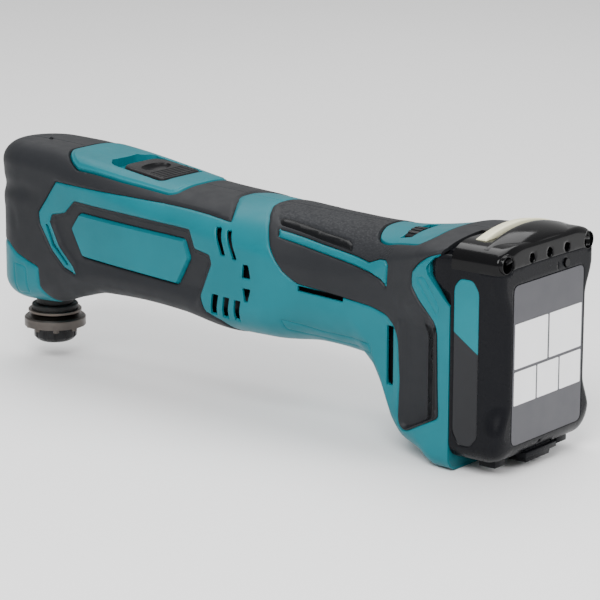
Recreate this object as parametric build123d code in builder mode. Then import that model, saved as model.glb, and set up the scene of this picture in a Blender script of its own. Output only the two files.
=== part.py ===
"""Cordless oscillating multi-tool with a slide-on battery.

Frame: millimetres, +Z up. The origin is on the spindle axis, on the seat face of the
tool flange. +X runs from the head towards the battery, and -Y is the right-hand side.
"""
from build123d import *
from math import atan, cos, degrees, radians, sin, tan
import os

os.makedirs("parts", exist_ok=True)

# ---------------------------------------------------------------- casing form
# Cross-sections of the body: place along X, half width, lowest Z, highest Z, corner radius.
BODY = [
    (0, 20.6, 14.5, 83.3, 9.0),
    (16, 21.6, 15.4, 82.8, 9.5),
    (30, 23.4, 19.8, 81.2, 10.0),
    (46, 25.2, 23.4, 79.35, 11.0),
    (66, 26.6, 23.0, 77.05, 12.0),
    (92, 27.8, 21.2, 74.3, 13.0),
    (118, 28.9, 17.6, 73.4, 15.0),
    (138, 28.5, 17.4, 72.7, 17.0),
    (160, 26.3, 19.2, 72.1, 20.0),
    (182, 25.6, 18.4, 71.6, 20.5),
    (207, 26.4, 17.4, 72.4, 19.0),
]
# Cross-sections of the battery mount at the rear end of the body.
MOUNT = [
    (201.0, 25.2, -4.0, 71.0, 14.0),
    (208.0, 27.6, -10.5, 73.0, 11.0),
    (219.0, 31.2, -14.6, 75.5, 7.5),
    (236.5, 32.5, -14.6, 75.5, 6.0),
]
foot_z = -14.5             # flat face that the rear end stands on, cut across the mount
wall = 3.0                 # casing wall
grip_thickness = 1.2       # moulded-on soft grip
bond_gap = 0.1             # line between the grip and the pocket that it fills
edge_gap = 0.25            # line round each panel's edge
free_gap = 0.3             # between a moving part and what it passes
running_gap = 0.02         # radial clearance of a shaft in its bearing
screw_gap = 0.15           # radial clearance of a screw in its hole

head_radius, head_low, head_high, head_corner = BODY[0][1:]
mount_front = MOUNT[0][0]
mount_rear = MOUNT[-1][0]

# ---------------------------------------------------------------- spindle and tool clamp
spindle_radius = 6.0
flange_radius = 13.6
flange_rim = 4.2
flange_height = 6.0
flange_top_radius = 8.25
flange_pin_count = 8
flange_pin_circle = 11.3
flange_pin_radius = 1.3
flange_pin_height = 1.5
bolt_head_radius = 9.5
bolt_head_height = 6.6
bolt_shank_radius = 4.0
bolt_length = 13.5         # top of the shank
hex_socket = 5.0
ring_radius = 11.8
ring_height = 1.5
cap_radius = 10.3
cap_height = 2.4
seal_radius = 8.0
lower_bearing_radius = 12.0
lower_bearing_width = 8.0
lower_bearing_z = 21.5
upper_bearing_radius = 9.5
upper_bearing_width = 6.0
upper_bearing_z = 63.0
spindle_top_radius = 4.0
case_radius = 17.0
case_low = 19.0
case_high = 71.0
arm_hub_radius = 11.0
arm_swing = 1.6            # degrees each way

# ---------------------------------------------------------------- motor
motor_z = 47.0
motor_radius = 18.0
motor_front = 54.0
motor_length = 50.0
can_wall = 1.5
shaft_radius = 2.5
eccentric = 0.77
eccentric_x = 23.5
eccentric_bearing_radius = 7.0
eccentric_bearing_width = 5.0
front_bearing_radius = 9.5
front_bearing_width = 6.0
rear_bearing_radius = 8.0
rear_bearing_width = 5.0
rotor_radius = 13.8
fan_radius = 18.0
fan_blades = 11
bell_length = 12.5

# ---------------------------------------------------------------- switch
switch_travel = 7.0
cover_front = 21.5
cover_rear = 85.5
cover_half = 19.5
knob_front = 50.0
knob_length = 25.0
knob_half = 12.9
slide_half = knob_half + 2.2  # plate under the knob, inside the casing
slide_depth = wall + 0.6      # top of that plate, below the casing's top
slide_thickness = 1.5
slope_x = 53.0             # where the sloping top of the body is measured
slope_z = 78.55
slope_rise = 0.1147        # fall of the top per mm of length
rod_z = 66.4
rod_thickness = 1.5
rod_half = 4.0

# ---------------------------------------------------------------- speed control
dial_x = 203.0
dial_y = -5.5
dial_radius = 11.0
dial_width = 5.0
dial_z = 61.9
board_z = 48.0
board_thickness = 1.6
board_half = 14.0
board_front = 172.0
board_rear = 216.0

# ---------------------------------------------------------------- battery
bat_front = 227.2
bat_split = 237.0
bat_rear = 260.0
bat_half = 32.5
bat_low = -6.5
bat_high = 76.5
bat_corner = 11.0
bat_wall = 2.2
# line from which the upper corners of the mount's cheeks are cut away: its ends in X and Z
cheek_cut_front = (226.0, 63.4)
cheek_cut_rear = (237.5, 49.0)
screw_y = 28.0             # the two screws of the battery's case, at the top corners
battery_screw_z = 71.5
tongue_half = 28.7
tongue_high = 74.0
cheek_inner = 29.2
seat_x = 226.0             # rear face of the housing's end wall
cell_radius = 9.1
cell_length = 65.0
cell_pitch = 19.4
cell_low = -1.0
block_half = 12.0
block_low = 4.0
block_high = 24.0
block_reach = 7.5
blade_pitch = 6.0
blade_count = 4
blade_height = 14.0
latch_travel = 2.5
# rails on the inner faces of the mount's cheeks, which guide the battery
rail_x = (229.8, 232.7)
rail_low = bat_low + 1.0
rail_high = 49.0
rail_reach = 2.2

FAR = 400.0


def save(piece, name):
    """Label a finished piece and write its STEP file."""
    piece.part.label = name
    export_step(piece.part, f"parts/{name}.step")


def top_z(x):
    """Height of the sloping top of the body at x."""
    return slope_z - slope_rise * (x - slope_x)


def section_loft(sections, inset, first_x=None, last_x=None, ruled=False):
    """Loft through rounded rectangles, each shrunk by inset, trimmed to first_x..last_x."""
    with BuildPart() as form:
        for x, half, low, high, corner in sections:
            with BuildSketch(Plane.YZ.offset(x)):
                with Locations((0, (low + high) / 2)):
                    RectangleRounded(2 * (half - inset), high - low - 2 * inset, corner - inset)
        loft(ruled=ruled)
        if first_x is not None:
            split(bisect_by=Plane.YZ.offset(first_x), keep=Keep.TOP)
        if last_x is not None:
            split(bisect_by=Plane.YZ.offset(last_x), keep=Keep.BOTTOM)
    return form.part


def casing_form(inset, mount_first, mount_last):
    """The outside form of the whole casing, shrunk by inset on every side."""
    with BuildPart() as form:
        with BuildSketch(Plane.YZ):
            with Locations((0, (head_low + head_high) / 2)):
                RectangleRounded(
                    2 * (head_radius - inset), head_high - head_low - 2 * inset, head_corner - inset
                )
            with Locations((-FAR / 2, 0)):
                Rectangle(FAR, FAR, mode=Mode.SUBTRACT)
        revolve(axis=Axis.Z, revolution_arc=180)
        add(section_loft(BODY, inset))
        add(section_loft(MOUNT, inset, mount_first, mount_last, ruled=True))
    return form.part


def side_prism(outline, holes=(), grow=0.0):
    """A prism across the whole width from an outline in X and Z."""
    with BuildPart() as prism:
        with BuildSketch(Plane.XZ.offset(-FAR / 2)):
            with BuildLine():
                Polyline(*outline, close=True)
            make_face()
            if grow:
                offset(amount=grow, kind=Kind.ARC)
            for hole in holes:
                with BuildSketch(mode=Mode.PRIVATE) as cut:
                    with BuildLine():
                        Polyline(*hole, close=True)
                    make_face()
                    if grow:
                        offset(amount=-grow, kind=Kind.ARC)
                add(cut.sketch, mode=Mode.SUBTRACT)
        extrude(amount=FAR)
    return prism.part


def along_x(radius, x0, x1, y=0.0, z=motor_z, bore=0.0):
    """A round bar or tube along X from x0 to x1."""
    with BuildPart() as bar:
        with BuildSketch(Plane.YZ.offset(x0)):
            with Locations((y, z)):
                Circle(radius)
                if bore:
                    Circle(bore, mode=Mode.SUBTRACT)
        extrude(amount=x1 - x0)
    return bar.part


def along_z(radius, z0, z1, x=0.0, y=0.0, bore=0.0):
    """A round bar or tube along Z from z0 to z1."""
    with BuildPart() as bar:
        with BuildSketch(Plane.XY.offset(z0)):
            with Locations((x, y)):
                Circle(radius)
                if bore:
                    Circle(bore, mode=Mode.SUBTRACT)
        extrude(amount=z1 - z0)
    return bar.part


def block(x0, x1, y0, y1, z0, z1):
    """A plain block between two corners, as a tool for cutting and adding."""
    with BuildPart() as solid:
        with BuildSketch(Plane.XY.offset(z0)):
            with Locations(((x0 + x1) / 2, (y0 + y1) / 2)):
                Rectangle(x1 - x0, y1 - y0)
        extrude(amount=z1 - z0)
    return solid.part


# ================================================================ shared casing forms
outer_form = casing_form(0.0, mount_front, mount_rear)
skin_form = casing_form(grip_thickness, mount_front + grip_thickness, mount_rear)
pocket_form = casing_form(
    grip_thickness + bond_gap, mount_front + grip_thickness + bond_gap, mount_rear
)
inner_form = casing_form(wall, mount_front + wall, seat_x - wall)

# Outlines of the panels in X and Z, as seen from the side.
BOOT = [
    (-40, 90), (-40, 39.5), (-9, 39.2), (3.3, 33.1), (10.3, 31.1), (11.5, 22.5), (14.5, 19.3), (27, 10),
    (124, 10), (118.2, 25), (110.8, 28.5), (108.7, 34.9), (114.8, 49.3), (113.7, 52.9), (105.6, 54.3),
    (102.6, 62), (34.5, 63.9), (28.3, 57.9), (19.4, 55.7), (18, 52.1), (23.7, 42.4), (32.4, 35.4),
    (34.9, 31.8), (27.3, 33.9), (19.3, 40), (11.9, 50.6), (11.2, 55.6), (23.6, 71.2), (65.7, 70),
    (121.4, 66.9), (115.7, 72.3), (112, 74), (111, 90),
]
BADGE = [(31.5, 51.7), (36.8, 58.9), (99, 57), (102.1, 49.5), (95.2, 37.3), (38.6, 40)]
REAR_GRIP = [
    (128.3, 90), (128.5, 73), (135.4, 71.1), (140.8, 64), (143, 58), (146.3, 53.9), (153.8, 48.1),
    (158.1, 46.6), (197, 43.6), (203.7, 40.5), (207.5, 34), (208.5, 0), (212, -3.5), (222, -7),
    (225.2, 10), (225.2, 60), (220.5, 69), (218, 90),
]
STRIPE = [(145.8, 64.8), (191.1, 58.3), (196.4, 62.5), (200.5, 60.5), (201.8, 52), (198, 55), (146.2, 62.4)]

cover_zone = block(cover_front, cover_rear, -cover_half, cover_half, 60, 90)
dial_zone_x = (186.0, 213.0)
dial_zone_half = 17.0
dial_zone = block(dial_zone_x[0], dial_zone_x[1], -dial_zone_half, dial_zone_half, 60, 90)

# ================================================================ housing shells
# Screws that join the two shells: place in X and Z.
SHELL_SCREWS = [(8, 75.2), (119, 24.2), (150, 25.2), (190, 25.0), (212, -4), (216, 66.5)]
screw_radius = 1.5
screw_head_radius = 3.0
screw_head_depth = 12.0    # seat of each screw's head, measured from the middle plane
screw_head_height = 2.4
screw_length = 19.0
boss_radius = 3.4

# Cooling slots on each side: outlines in X and Z.
VENTS = [
    [(115.9, 64.8), (118.8, 64.8), (122.5, 53.8), (120, 53.5)],
    [(121.6, 64.2), (124, 64.2), (128.5, 52.8), (126.3, 52.8)],
    [(131.6, 51.6), (134.3, 51.6), (135.4, 45.9), (130.9, 45.9)],
    [(131.2, 41.7), (135.5, 41.7), (133.9, 36.1), (132.2, 36.1)],
    [(115.3, 37), (118.7, 37), (117.2, 27.6), (114.1, 28.2)],
    [(121.3, 36.6), (124.5, 36.6), (123, 27), (120.2, 27.4)],
    [(127.1, 36.2), (130.3, 36), (128.6, 26.6), (126, 26.9)],
    [(158, 46.2), (180, 44.9), (180, 43.1), (158, 44.4)],
]
front_slot = [(16.8, 49.5), (18.2, 50.6), (29.6, 36.2), (28.2, 35.4)]

switch_window = block(knob_front - 8, knob_front + knob_length + free_gap, -knob_half - free_gap,
                      knob_half + free_gap, 60, 90)

deep_skin = outer_form - pocket_form
with BuildPart() as pocket_zone:
    add(side_prism(BOOT))
    add(side_prism(BADGE))
    add(side_prism(REAR_GRIP, [STRIPE]))
    add(cover_zone)
    add(dial_zone)
pocket_zones = pocket_zone.part

with BuildPart() as shell:
    add(outer_form)
    add(inner_form, mode=Mode.SUBTRACT)
    add(block(mount_front, mount_rear + 1, -40, 40, foot_z - 5, foot_z), mode=Mode.SUBTRACT)
    # the battery's seat: open to the rear and upwards, with the upper corners cut away
    add(block(seat_x, 240, -cheek_inner, cheek_inner, bat_low - free_gap, 90), mode=Mode.SUBTRACT)
    add(side_prism([(cheek_cut_front[0], 90), cheek_cut_front, cheek_cut_rear, (cheek_cut_rear[0], 90)]),
        mode=Mode.SUBTRACT)
    # pockets for the soft grips, the badge plates, the switch cover and the dial bezel
    add(deep_skin & pocket_zones, mode=Mode.SUBTRACT)
    # openings
    add(switch_window, mode=Mode.SUBTRACT)
    add(block(dial_x - dial_width / 2 - free_gap, dial_x + dial_width / 2 + free_gap,
              dial_y - dial_radius + 1.2, dial_y + dial_radius - 1.2, 60, 90), mode=Mode.SUBTRACT)
    add(along_z(seal_radius + free_gap, 0, 25), mode=Mode.SUBTRACT)
    add(along_z(3.6, 10, 30, x=29), mode=Mode.SUBTRACT)
    add(block(215, 230, -block_half - free_gap, block_half + free_gap,
              block_low - free_gap, block_high + free_gap), mode=Mode.SUBTRACT)
    for vent in VENTS + [front_slot]:
        add(side_prism(vent), mode=Mode.SUBTRACT)

# ribs that cradle the motor can, open at the top for the switch rod and at the sides for the lamp lead
with BuildPart() as cradle:
    for x in (58, 98):
        add((inner_form & block(x, x + 2, -40, 40, 0, 90)) - along_x(motor_radius + bond_gap, x - 1, x + 3))
    add(block(50, 110, -7, 7, 60, 90), mode=Mode.SUBTRACT)
    # room for the plate under the switch knob
    slide_floor = top_z(60.0) - slide_depth - slide_thickness - 3 * free_gap
    add(block(50, 90, -slide_half - free_gap, slide_half + free_gap, slide_floor, 90), mode=Mode.SUBTRACT)
    for side in (-1, 1):
        y0, y1 = sorted((side * 10, side * 14))
        add(block(50, 110, y0, y1, 20, 33), mode=Mode.SUBTRACT)
cradle_pieces = cradle.part

# ledges that carry the control board
with BuildPart() as ledges:
    for side in (-1, 1):
        for x in (176, 208):
            add(inner_form & block(x, x + 4, side * 20 - 8, side * 20 + 8, board_z - 2.3, board_z - 0.3))
ledge_pieces = ledges.part


def housing(side):
    """One half of the casing: side is -1 for the right half and +1 for the left."""
    with BuildPart() as half:
        add(shell.part)
        add(cradle_pieces)
        add(ledge_pieces)
        add(block(rail_x[0], rail_x[1], cheek_inner - rail_reach, cheek_inner + 1, rail_low, rail_high))
        add(block(rail_x[0], rail_x[1], -cheek_inner - 1, rail_reach - cheek_inner, rail_low, rail_high))
        for x, z in SHELL_SCREWS:
            with BuildPart(mode=Mode.PRIVATE) as boss:
                with BuildSketch(Plane.XZ.offset(-FAR / 2)):
                    with Locations((x, z)):
                        Circle(boss_radius)
                extrude(amount=FAR)
                add(pocket_form, mode=Mode.INTERSECT)
            add(boss.part)
        split(bisect_by=Plane.XZ, keep=Keep.BOTTOM if side > 0 else Keep.TOP)
        for x, z in SHELL_SCREWS:
            if side > 0:
                hole = [(screw_radius + screw_gap, 0, screw_head_depth - screw_head_height),
                        (screw_head_radius + screw_gap, screw_head_depth - screw_head_height, 40)]
            else:
                hole = [(screw_radius + running_gap, -screw_length, 0)]
            for radius, y0, y1 in hole:
                with BuildSketch(Plane.XZ.offset(-y0)):
                    with Locations((x, z)):
                        Circle(radius)
                extrude(amount=-(y1 - y0), mode=Mode.SUBTRACT)
    return half


for side, name in ((-1, "housing_right"), (1, "housing_left")):
    half = housing(side)
    save(half, name)

with BuildPart() as housing_screws:
    for x, z in SHELL_SCREWS:
        with BuildSketch(Plane.XZ.offset(-(screw_head_depth - screw_head_height))):
            with Locations((x, z)):
                Circle(screw_head_radius)
        extrude(amount=-screw_head_height)
        with BuildSketch(Plane.XZ.offset(-(screw_head_depth - screw_head_height))):
            with Locations((x, z)):
                Circle(screw_radius)
        extrude(amount=screw_length - 2)
save(housing_screws, "housing_screws")

# ================================================================ soft grips and covers
half_right = block(-60, 300, -60, -bond_gap / 2, -60, 120)
half_left = block(-60, 300, bond_gap / 2, 60, -60, 120)
grip_skin = outer_form - skin_form
cover_clear = block(cover_front - edge_gap, cover_rear + edge_gap, -cover_half - edge_gap,
                    cover_half + edge_gap, 60, 90)
dial_clear = block(dial_zone_x[0] - edge_gap, dial_zone_x[1] + edge_gap, -dial_zone_half - edge_gap,
                   dial_zone_half + edge_gap, 60, 90)
vent_prisms = [side_prism(vent) for vent in VENTS + [front_slot]]
neck_clear = along_z(seal_radius + free_gap, 0, 25) + along_z(3.6, 10, 30, x=29)

for name, zone in (("right", half_right), ("left", half_left)):
    with BuildPart() as grip_front:
        add(grip_skin)
        add(side_prism(BOOT, grow=-edge_gap) & zone, mode=Mode.INTERSECT)
        add(side_prism(BADGE), mode=Mode.SUBTRACT)
        add(cover_clear, mode=Mode.SUBTRACT)
        add(neck_clear, mode=Mode.SUBTRACT)
        for vent in vent_prisms:
            add(vent, mode=Mode.SUBTRACT)
    save(grip_front, "grip_front_" + name)

    with BuildPart() as grip_rear:
        add(grip_skin)
        add(side_prism(REAR_GRIP, [STRIPE], grow=-edge_gap) & zone, mode=Mode.INTERSECT)
        add(dial_clear, mode=Mode.SUBTRACT)
        for vent in vent_prisms:
            add(vent, mode=Mode.SUBTRACT)
    save(grip_rear, "grip_rear_" + name)

with BuildPart() as badge_plates:
    add(grip_skin)
    add(side_prism(BADGE, grow=-edge_gap), mode=Mode.INTERSECT)
save(badge_plates, "badge_plates")

with BuildPart() as switch_cover:
    add(grip_skin)
    with BuildPart(mode=Mode.INTERSECT):
        with BuildSketch(Plane.XY.offset(60)):
            with BuildLine():
                Polyline(
                    (cover_front, -9), (cover_front + 7, -cover_half + 1.5),
                    (cover_front + 12, -cover_half), (cover_rear - 2, -cover_half),
                    (cover_rear, -cover_half + 3), (cover_rear, cover_half - 3),
                    (cover_rear - 2, cover_half), (cover_front + 12, cover_half),
                    (cover_front + 7, cover_half - 1.5), (cover_front, 9), close=True,
                )
            make_face()
        extrude(amount=30)
    add(switch_window, mode=Mode.SUBTRACT)
save(switch_cover, "switch_cover")

with BuildPart() as dial_bezel:
    add(grip_skin)
    with BuildPart(mode=Mode.INTERSECT):
        with BuildSketch(Plane.XY.offset(60)):
            with Locations(((dial_zone_x[0] + dial_zone_x[1]) / 2, 0)):
                RectangleRounded(dial_zone_x[1] - dial_zone_x[0], 2 * dial_zone_half, 8)
        extrude(amount=30)
    add(block(dial_x - dial_width / 2 - free_gap, dial_x + dial_width / 2 + free_gap,
              dial_y - dial_radius + 1.2, dial_y + dial_radius - 1.2, 60, 90), mode=Mode.SUBTRACT)
save(dial_bezel, "dial_bezel")

# ================================================================ spindle, flange and clamp bolt
with BuildPart() as tool_flange:
    with BuildSketch(Plane.XZ):
        with BuildLine():
            Polyline(
                (bolt_shank_radius + free_gap, 0), (flange_radius, 0),
                (flange_radius, flange_rim - 0.6), (flange_radius - 0.6, flange_rim),
                (flange_radius - 1.6, flange_rim), (flange_top_radius, flange_height),
                (spindle_radius + running_gap, flange_height), (spindle_radius + running_gap, 1.5),
                (bolt_shank_radius + free_gap, 1.5), close=True,
            )
        make_face()
    revolve(axis=Axis.Z)
    with BuildSketch(Plane.XY):
        with PolarLocations(flange_pin_circle, flange_pin_count):
            Circle(flange_pin_radius)
    extrude(amount=-flange_pin_height)
save(tool_flange, "tool_flange")

ring_low = flange_height
cap_low = ring_low + ring_height
seal_low = cap_low + cap_height + free_gap

with BuildPart() as retaining_ring:
    add(along_z(ring_radius, ring_low, cap_low, bore=spindle_radius + running_gap))
    chamfer(retaining_ring.edges().filter_by(GeomType.CIRCLE).sort_by(SortBy.RADIUS)[-2:], 0.3)
save(retaining_ring, "retaining_ring")

with BuildPart() as dust_cap:
    add(along_z(cap_radius, cap_low, cap_low + cap_height, bore=spindle_radius + running_gap))
    fillet(dust_cap.edges().group_by(Axis.Z)[-1].sort_by(SortBy.RADIUS)[-1], 0.8)
save(dust_cap, "dust_cap")

with BuildPart() as neck_seal:
    add(along_z(seal_radius, seal_low, case_low + 1.2, bore=spindle_radius + 2 * running_gap))
save(neck_seal, "neck_seal")

arm_low = 36.0
arm_high = 58.0
with BuildPart() as spindle:
    add(along_z(spindle_radius, 1.5, 60.0))
    add(along_z(spindle_radius + 1.6, lower_bearing_z + lower_bearing_width, arm_low))
    add(along_z(spindle_top_radius, 60.0, upper_bearing_z + upper_bearing_width))
    add(along_z(bolt_shank_radius + running_gap, 0, 24.0), mode=Mode.SUBTRACT)
save(spindle, "spindle")

with BuildPart() as clamp_bolt:
    bolt_top = -free_gap
    add(along_z(bolt_head_radius, bolt_top - bolt_head_height, bolt_top))
    chamfer(clamp_bolt.edges().group_by(Axis.Z)[0], 1.8)
    add(along_z(bolt_shank_radius, bolt_top, bolt_length))
    with BuildSketch(Plane.XY.offset(bolt_top - bolt_head_height)):
        RegularPolygon(hex_socket / 2, 6, major_radius=False)
    extrude(amount=5.0, mode=Mode.SUBTRACT)
save(clamp_bolt, "clamp_bolt")


def bearing(axis_plane, bore, radius, width):
    """A ball bearing of three solids: inner race, ball ring and outer race."""
    race = (radius - bore) * 0.3
    ball_ring = (bore + race + bond_gap, radius - race - bond_gap)
    with BuildPart() as rings:
        for r0, r1, inset in (
            (bore, bore + race, 0.0), (*ball_ring, 0.6), (radius - race, radius, 0.0)
        ):
            with BuildSketch(axis_plane.offset(inset)):
                Circle(r1)
                Circle(r0, mode=Mode.SUBTRACT)
            extrude(amount=width - 2 * inset)
    return rings


save(bearing(Plane.XY.offset(lower_bearing_z), spindle_radius + running_gap, lower_bearing_radius,
             lower_bearing_width), "lower_bearing")
save(bearing(Plane.XY.offset(upper_bearing_z), spindle_top_radius + running_gap, upper_bearing_radius,
             upper_bearing_width), "upper_bearing")

# the arm's fork passes the eccentric bearing with room for both strokes, one at a time or together
arm_stroke = eccentric_x * tan(radians(arm_swing)) + 0.15
fork_half = eccentric_bearing_radius + eccentric + arm_stroke + 0.1
fork_wall = 2.9
fork_reach = eccentric_x + eccentric_bearing_width + 0.5
with BuildPart() as swing_arm:
    add(along_z(arm_hub_radius, arm_low, arm_high))
    add(block(0, fork_reach, -fork_half - fork_wall, fork_half + fork_wall, motor_z - 6, motor_z + 6))
    add(block(15.5, fork_reach + 1, -fork_half, fork_half, motor_z - 7, motor_z + 7), mode=Mode.SUBTRACT)
    add(along_z(spindle_radius + running_gap, arm_low - 1, arm_high + 1), mode=Mode.SUBTRACT)
save(swing_arm, "swing_arm")

# ================================================================ gear case
case_rear = 41.5
case_neck = 33.5
case_half = 16.0
case_room = 13.3
front_bearing_x = case_rear - front_bearing_width - 0.5
with BuildPart() as gear_case:
    add(along_z(case_radius, case_low, case_high - 5))
    chamfer(gear_case.edges().group_by(Axis.Z)[0], 4.0)
    chamfer(gear_case.edges().group_by(Axis.Z)[-1], 2.0)
    add(along_z(12.5, case_high - 5, case_high))
    add(block(0, case_neck, -case_half, case_half, 32, 62))
    add(along_x(motor_radius + 0.5, case_neck, case_rear))
    add(along_z(case_room, 31.5, 61), mode=Mode.SUBTRACT)
    add(block(0, case_neck, -case_room, case_room, 36, 58), mode=Mode.SUBTRACT)
    add(along_z(seal_radius + running_gap, 0, 31), mode=Mode.SUBTRACT)
    add(along_z(lower_bearing_radius + running_gap, lower_bearing_z,
                lower_bearing_z + lower_bearing_width + 0.1), mode=Mode.SUBTRACT)
    add(along_z(9.5, 29, 32), mode=Mode.SUBTRACT)
    add(along_z(7.0, 60, 64), mode=Mode.SUBTRACT)
    add(along_z(upper_bearing_radius + running_gap, upper_bearing_z,
                upper_bearing_z + upper_bearing_width + 0.1), mode=Mode.SUBTRACT)
    add(along_x(7.0, 30, 45), mode=Mode.SUBTRACT)
    add(along_x(front_bearing_radius + running_gap, front_bearing_x, 45), mode=Mode.SUBTRACT)
save(gear_case, "gear_case")

# ================================================================ motor
motor_rear = motor_front + motor_length
bell_rear = motor_rear + bell_length
with BuildPart() as motor_can:
    add(along_x(motor_radius, motor_front, motor_rear, bore=motor_radius - can_wall))
    add(along_x(motor_radius - 0.5, motor_front, motor_front + can_wall, bore=7.0))
save(motor_can, "motor_can")

magnet_outer = motor_radius - can_wall - bond_gap
magnet_inner = rotor_radius + 0.6
with BuildPart() as motor_magnets:
    add(along_x(magnet_outer, motor_front + 4, motor_rear - 4, bore=magnet_inner))
    add(block(50, 110, -20, 20, motor_z - 6, motor_z + 6), mode=Mode.SUBTRACT)
save(motor_magnets, "motor_magnets")

with BuildPart() as armature:
    add(along_x(rotor_radius, motor_front + 6, motor_rear - 8, bore=shaft_radius + running_gap))
    for step in range(12):
        with BuildSketch(Plane.YZ.offset(motor_front + 6)):
            with Locations((0, motor_z)):
                with PolarLocations(rotor_radius - 2.2, 1, start_angle=step * 30):
                    Rectangle(5.0, 1.6)
        extrude(amount=motor_length, mode=Mode.SUBTRACT)
save(armature, "armature")

commutator_front = motor_rear - 5
with BuildPart() as commutator:
    add(along_x(6.0, commutator_front, motor_rear + 6.5, bore=shaft_radius + running_gap))
save(commutator, "commutator")

shaft_front = 33.2
with BuildPart() as motor_shaft:
    add(along_x(shaft_radius, shaft_front - 3.6, bell_rear - 0.6))
    add(along_x(shaft_radius, eccentric_x - 0.8, shaft_front - 3.6, z=motor_z + eccentric))
save(motor_shaft, "motor_shaft")

with BuildPart() as counterweight:
    add(along_x(7.9, shaft_front - 3.5, shaft_front, bore=shaft_radius + running_gap))
    add(block(20, 40, -10, 10, motor_z + 4, motor_z + 12), mode=Mode.SUBTRACT)
save(counterweight, "counterweight")

save(bearing(Plane.YZ.offset(eccentric_x).shift_origin((eccentric_x, 0, motor_z + eccentric)),
             shaft_radius + running_gap, eccentric_bearing_radius, eccentric_bearing_width),
     "eccentric_bearing")
save(bearing(Plane.YZ.offset(front_bearing_x).shift_origin((front_bearing_x, 0, motor_z)),
             shaft_radius + running_gap, front_bearing_radius, front_bearing_width), "motor_front_bearing")
rear_bearing_x = bell_rear - rear_bearing_width
save(bearing(Plane.YZ.offset(rear_bearing_x).shift_origin((rear_bearing_x, 0, motor_z)),
             shaft_radius + running_gap, rear_bearing_radius, rear_bearing_width), "motor_rear_bearing")

fan_front = case_rear + 1.5
with BuildPart() as cooling_fan:
    add(along_x(6.0, fan_front, motor_front - 2, bore=shaft_radius + running_gap))
    add(along_x(fan_radius, motor_front - 3.2, motor_front - 2, bore=shaft_radius + running_gap))
    with BuildSketch(Plane.YZ.offset(fan_front)):
        with Locations((0, motor_z)):
            with PolarLocations((fan_radius + 5) / 2, fan_blades):
                Rectangle(fan_radius - 5, 1.2)
    extrude(amount=motor_front - 3.0 - fan_front)
save(cooling_fan, "cooling_fan")

brush_size = (4.0, 5.0)    # along X and Z
brush_tip = 6.15
brush_tail = 12.5
bell_wall = 2.0
with BuildPart() as motor_end_bell:
    add(along_x(motor_radius - 0.5, motor_rear, bell_rear, bore=motor_radius - 0.5 - bell_wall))
    add(along_x(motor_radius - 0.5, bell_rear - 2, bell_rear))
    add(along_x(10.0, rear_bearing_x - 0.4, bell_rear))
    for side in (-1, 1):
        y0, y1 = sorted((side * 7.4, side * 16.8))
        add(block(motor_rear + 0.6, motor_rear + 6.6, y0, y1, motor_z - 3.9, motor_z + 3.9))
    for side in (-1, 1):
        y0, y1 = sorted((side * 5.0, side * 15.4))
        add(block(motor_rear + 1.6 - running_gap, motor_rear + 1.6 + brush_size[0] + running_gap, y0, y1,
                  motor_z - brush_size[1] / 2 - running_gap, motor_z + brush_size[1] / 2 + running_gap),
            mode=Mode.SUBTRACT)
    add(along_x(4.0, motor_rear - 1, bell_rear + 1), mode=Mode.SUBTRACT)
    add(along_x(6.4, motor_rear - 1, motor_rear + 6.9), mode=Mode.SUBTRACT)
    add(along_x(rear_bearing_radius + running_gap, rear_bearing_x, bell_rear + 1), mode=Mode.SUBTRACT)
save(motor_end_bell, "motor_end_bell")

with BuildPart() as carbon_brushes:
    for side in (-1, 1):
        y0, y1 = sorted((side * brush_tip, side * brush_tail))
        add(block(motor_rear + 1.6, motor_rear + 1.6 + brush_size[0], y0, y1,
                  motor_z - brush_size[1] / 2, motor_z + brush_size[1] / 2))
save(carbon_brushes, "carbon_brushes")

with BuildPart() as brush_springs:
    for side in (-1, 1):
        y0, y1 = sorted((side * (brush_tail + 0.05), side * 15.35))
        with BuildSketch(Plane.XZ.offset(-y0)):
            with Locations((motor_rear + 1.6 + brush_size[0] / 2, motor_z)):
                Circle(1.7)
                Circle(1.2, mode=Mode.SUBTRACT)
        extrude(amount=-(y1 - y0))
save(brush_springs, "brush_springs")

# ================================================================ switch
slope = degrees(atan(slope_rise))
knob_plane = Plane(
    origin=(knob_front, 0, top_z(knob_front)),
    x_dir=(cos(radians(slope)), 0, -sin(radians(slope))),
    z_dir=(sin(radians(slope)), 0, cos(radians(slope))),
)
with BuildPart() as switch_knob:
    with BuildSketch(knob_plane.offset(-slide_depth)):
        with Locations((knob_length / 2, 0)):
            RectangleRounded(knob_length, 2 * knob_half, 4)
    extrude(amount=slide_depth + 0.3)
    with BuildSketch(knob_plane.offset(-slide_depth - slide_thickness)):
        with Locations((knob_length / 2, 0)):
            Rectangle(knob_length + 2 * (switch_travel + 3), 2 * slide_half)
    extrude(amount=slide_thickness)
    with BuildSketch(knob_plane.offset(0.3)):
        with Locations((10.5, 0)):
            SlotOverall(15, 6, rotation=90)
    extrude(amount=-1.6, mode=Mode.SUBTRACT)
    with BuildSketch(knob_plane.offset(0.3)):
        for groove in range(5):
            with Locations((14.5 + 2.0 * groove, 0)):
                Rectangle(0.8, 2 * knob_half - 5)
    extrude(amount=-0.8, mode=Mode.SUBTRACT)
save(switch_knob, "switch_knob")

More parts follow.
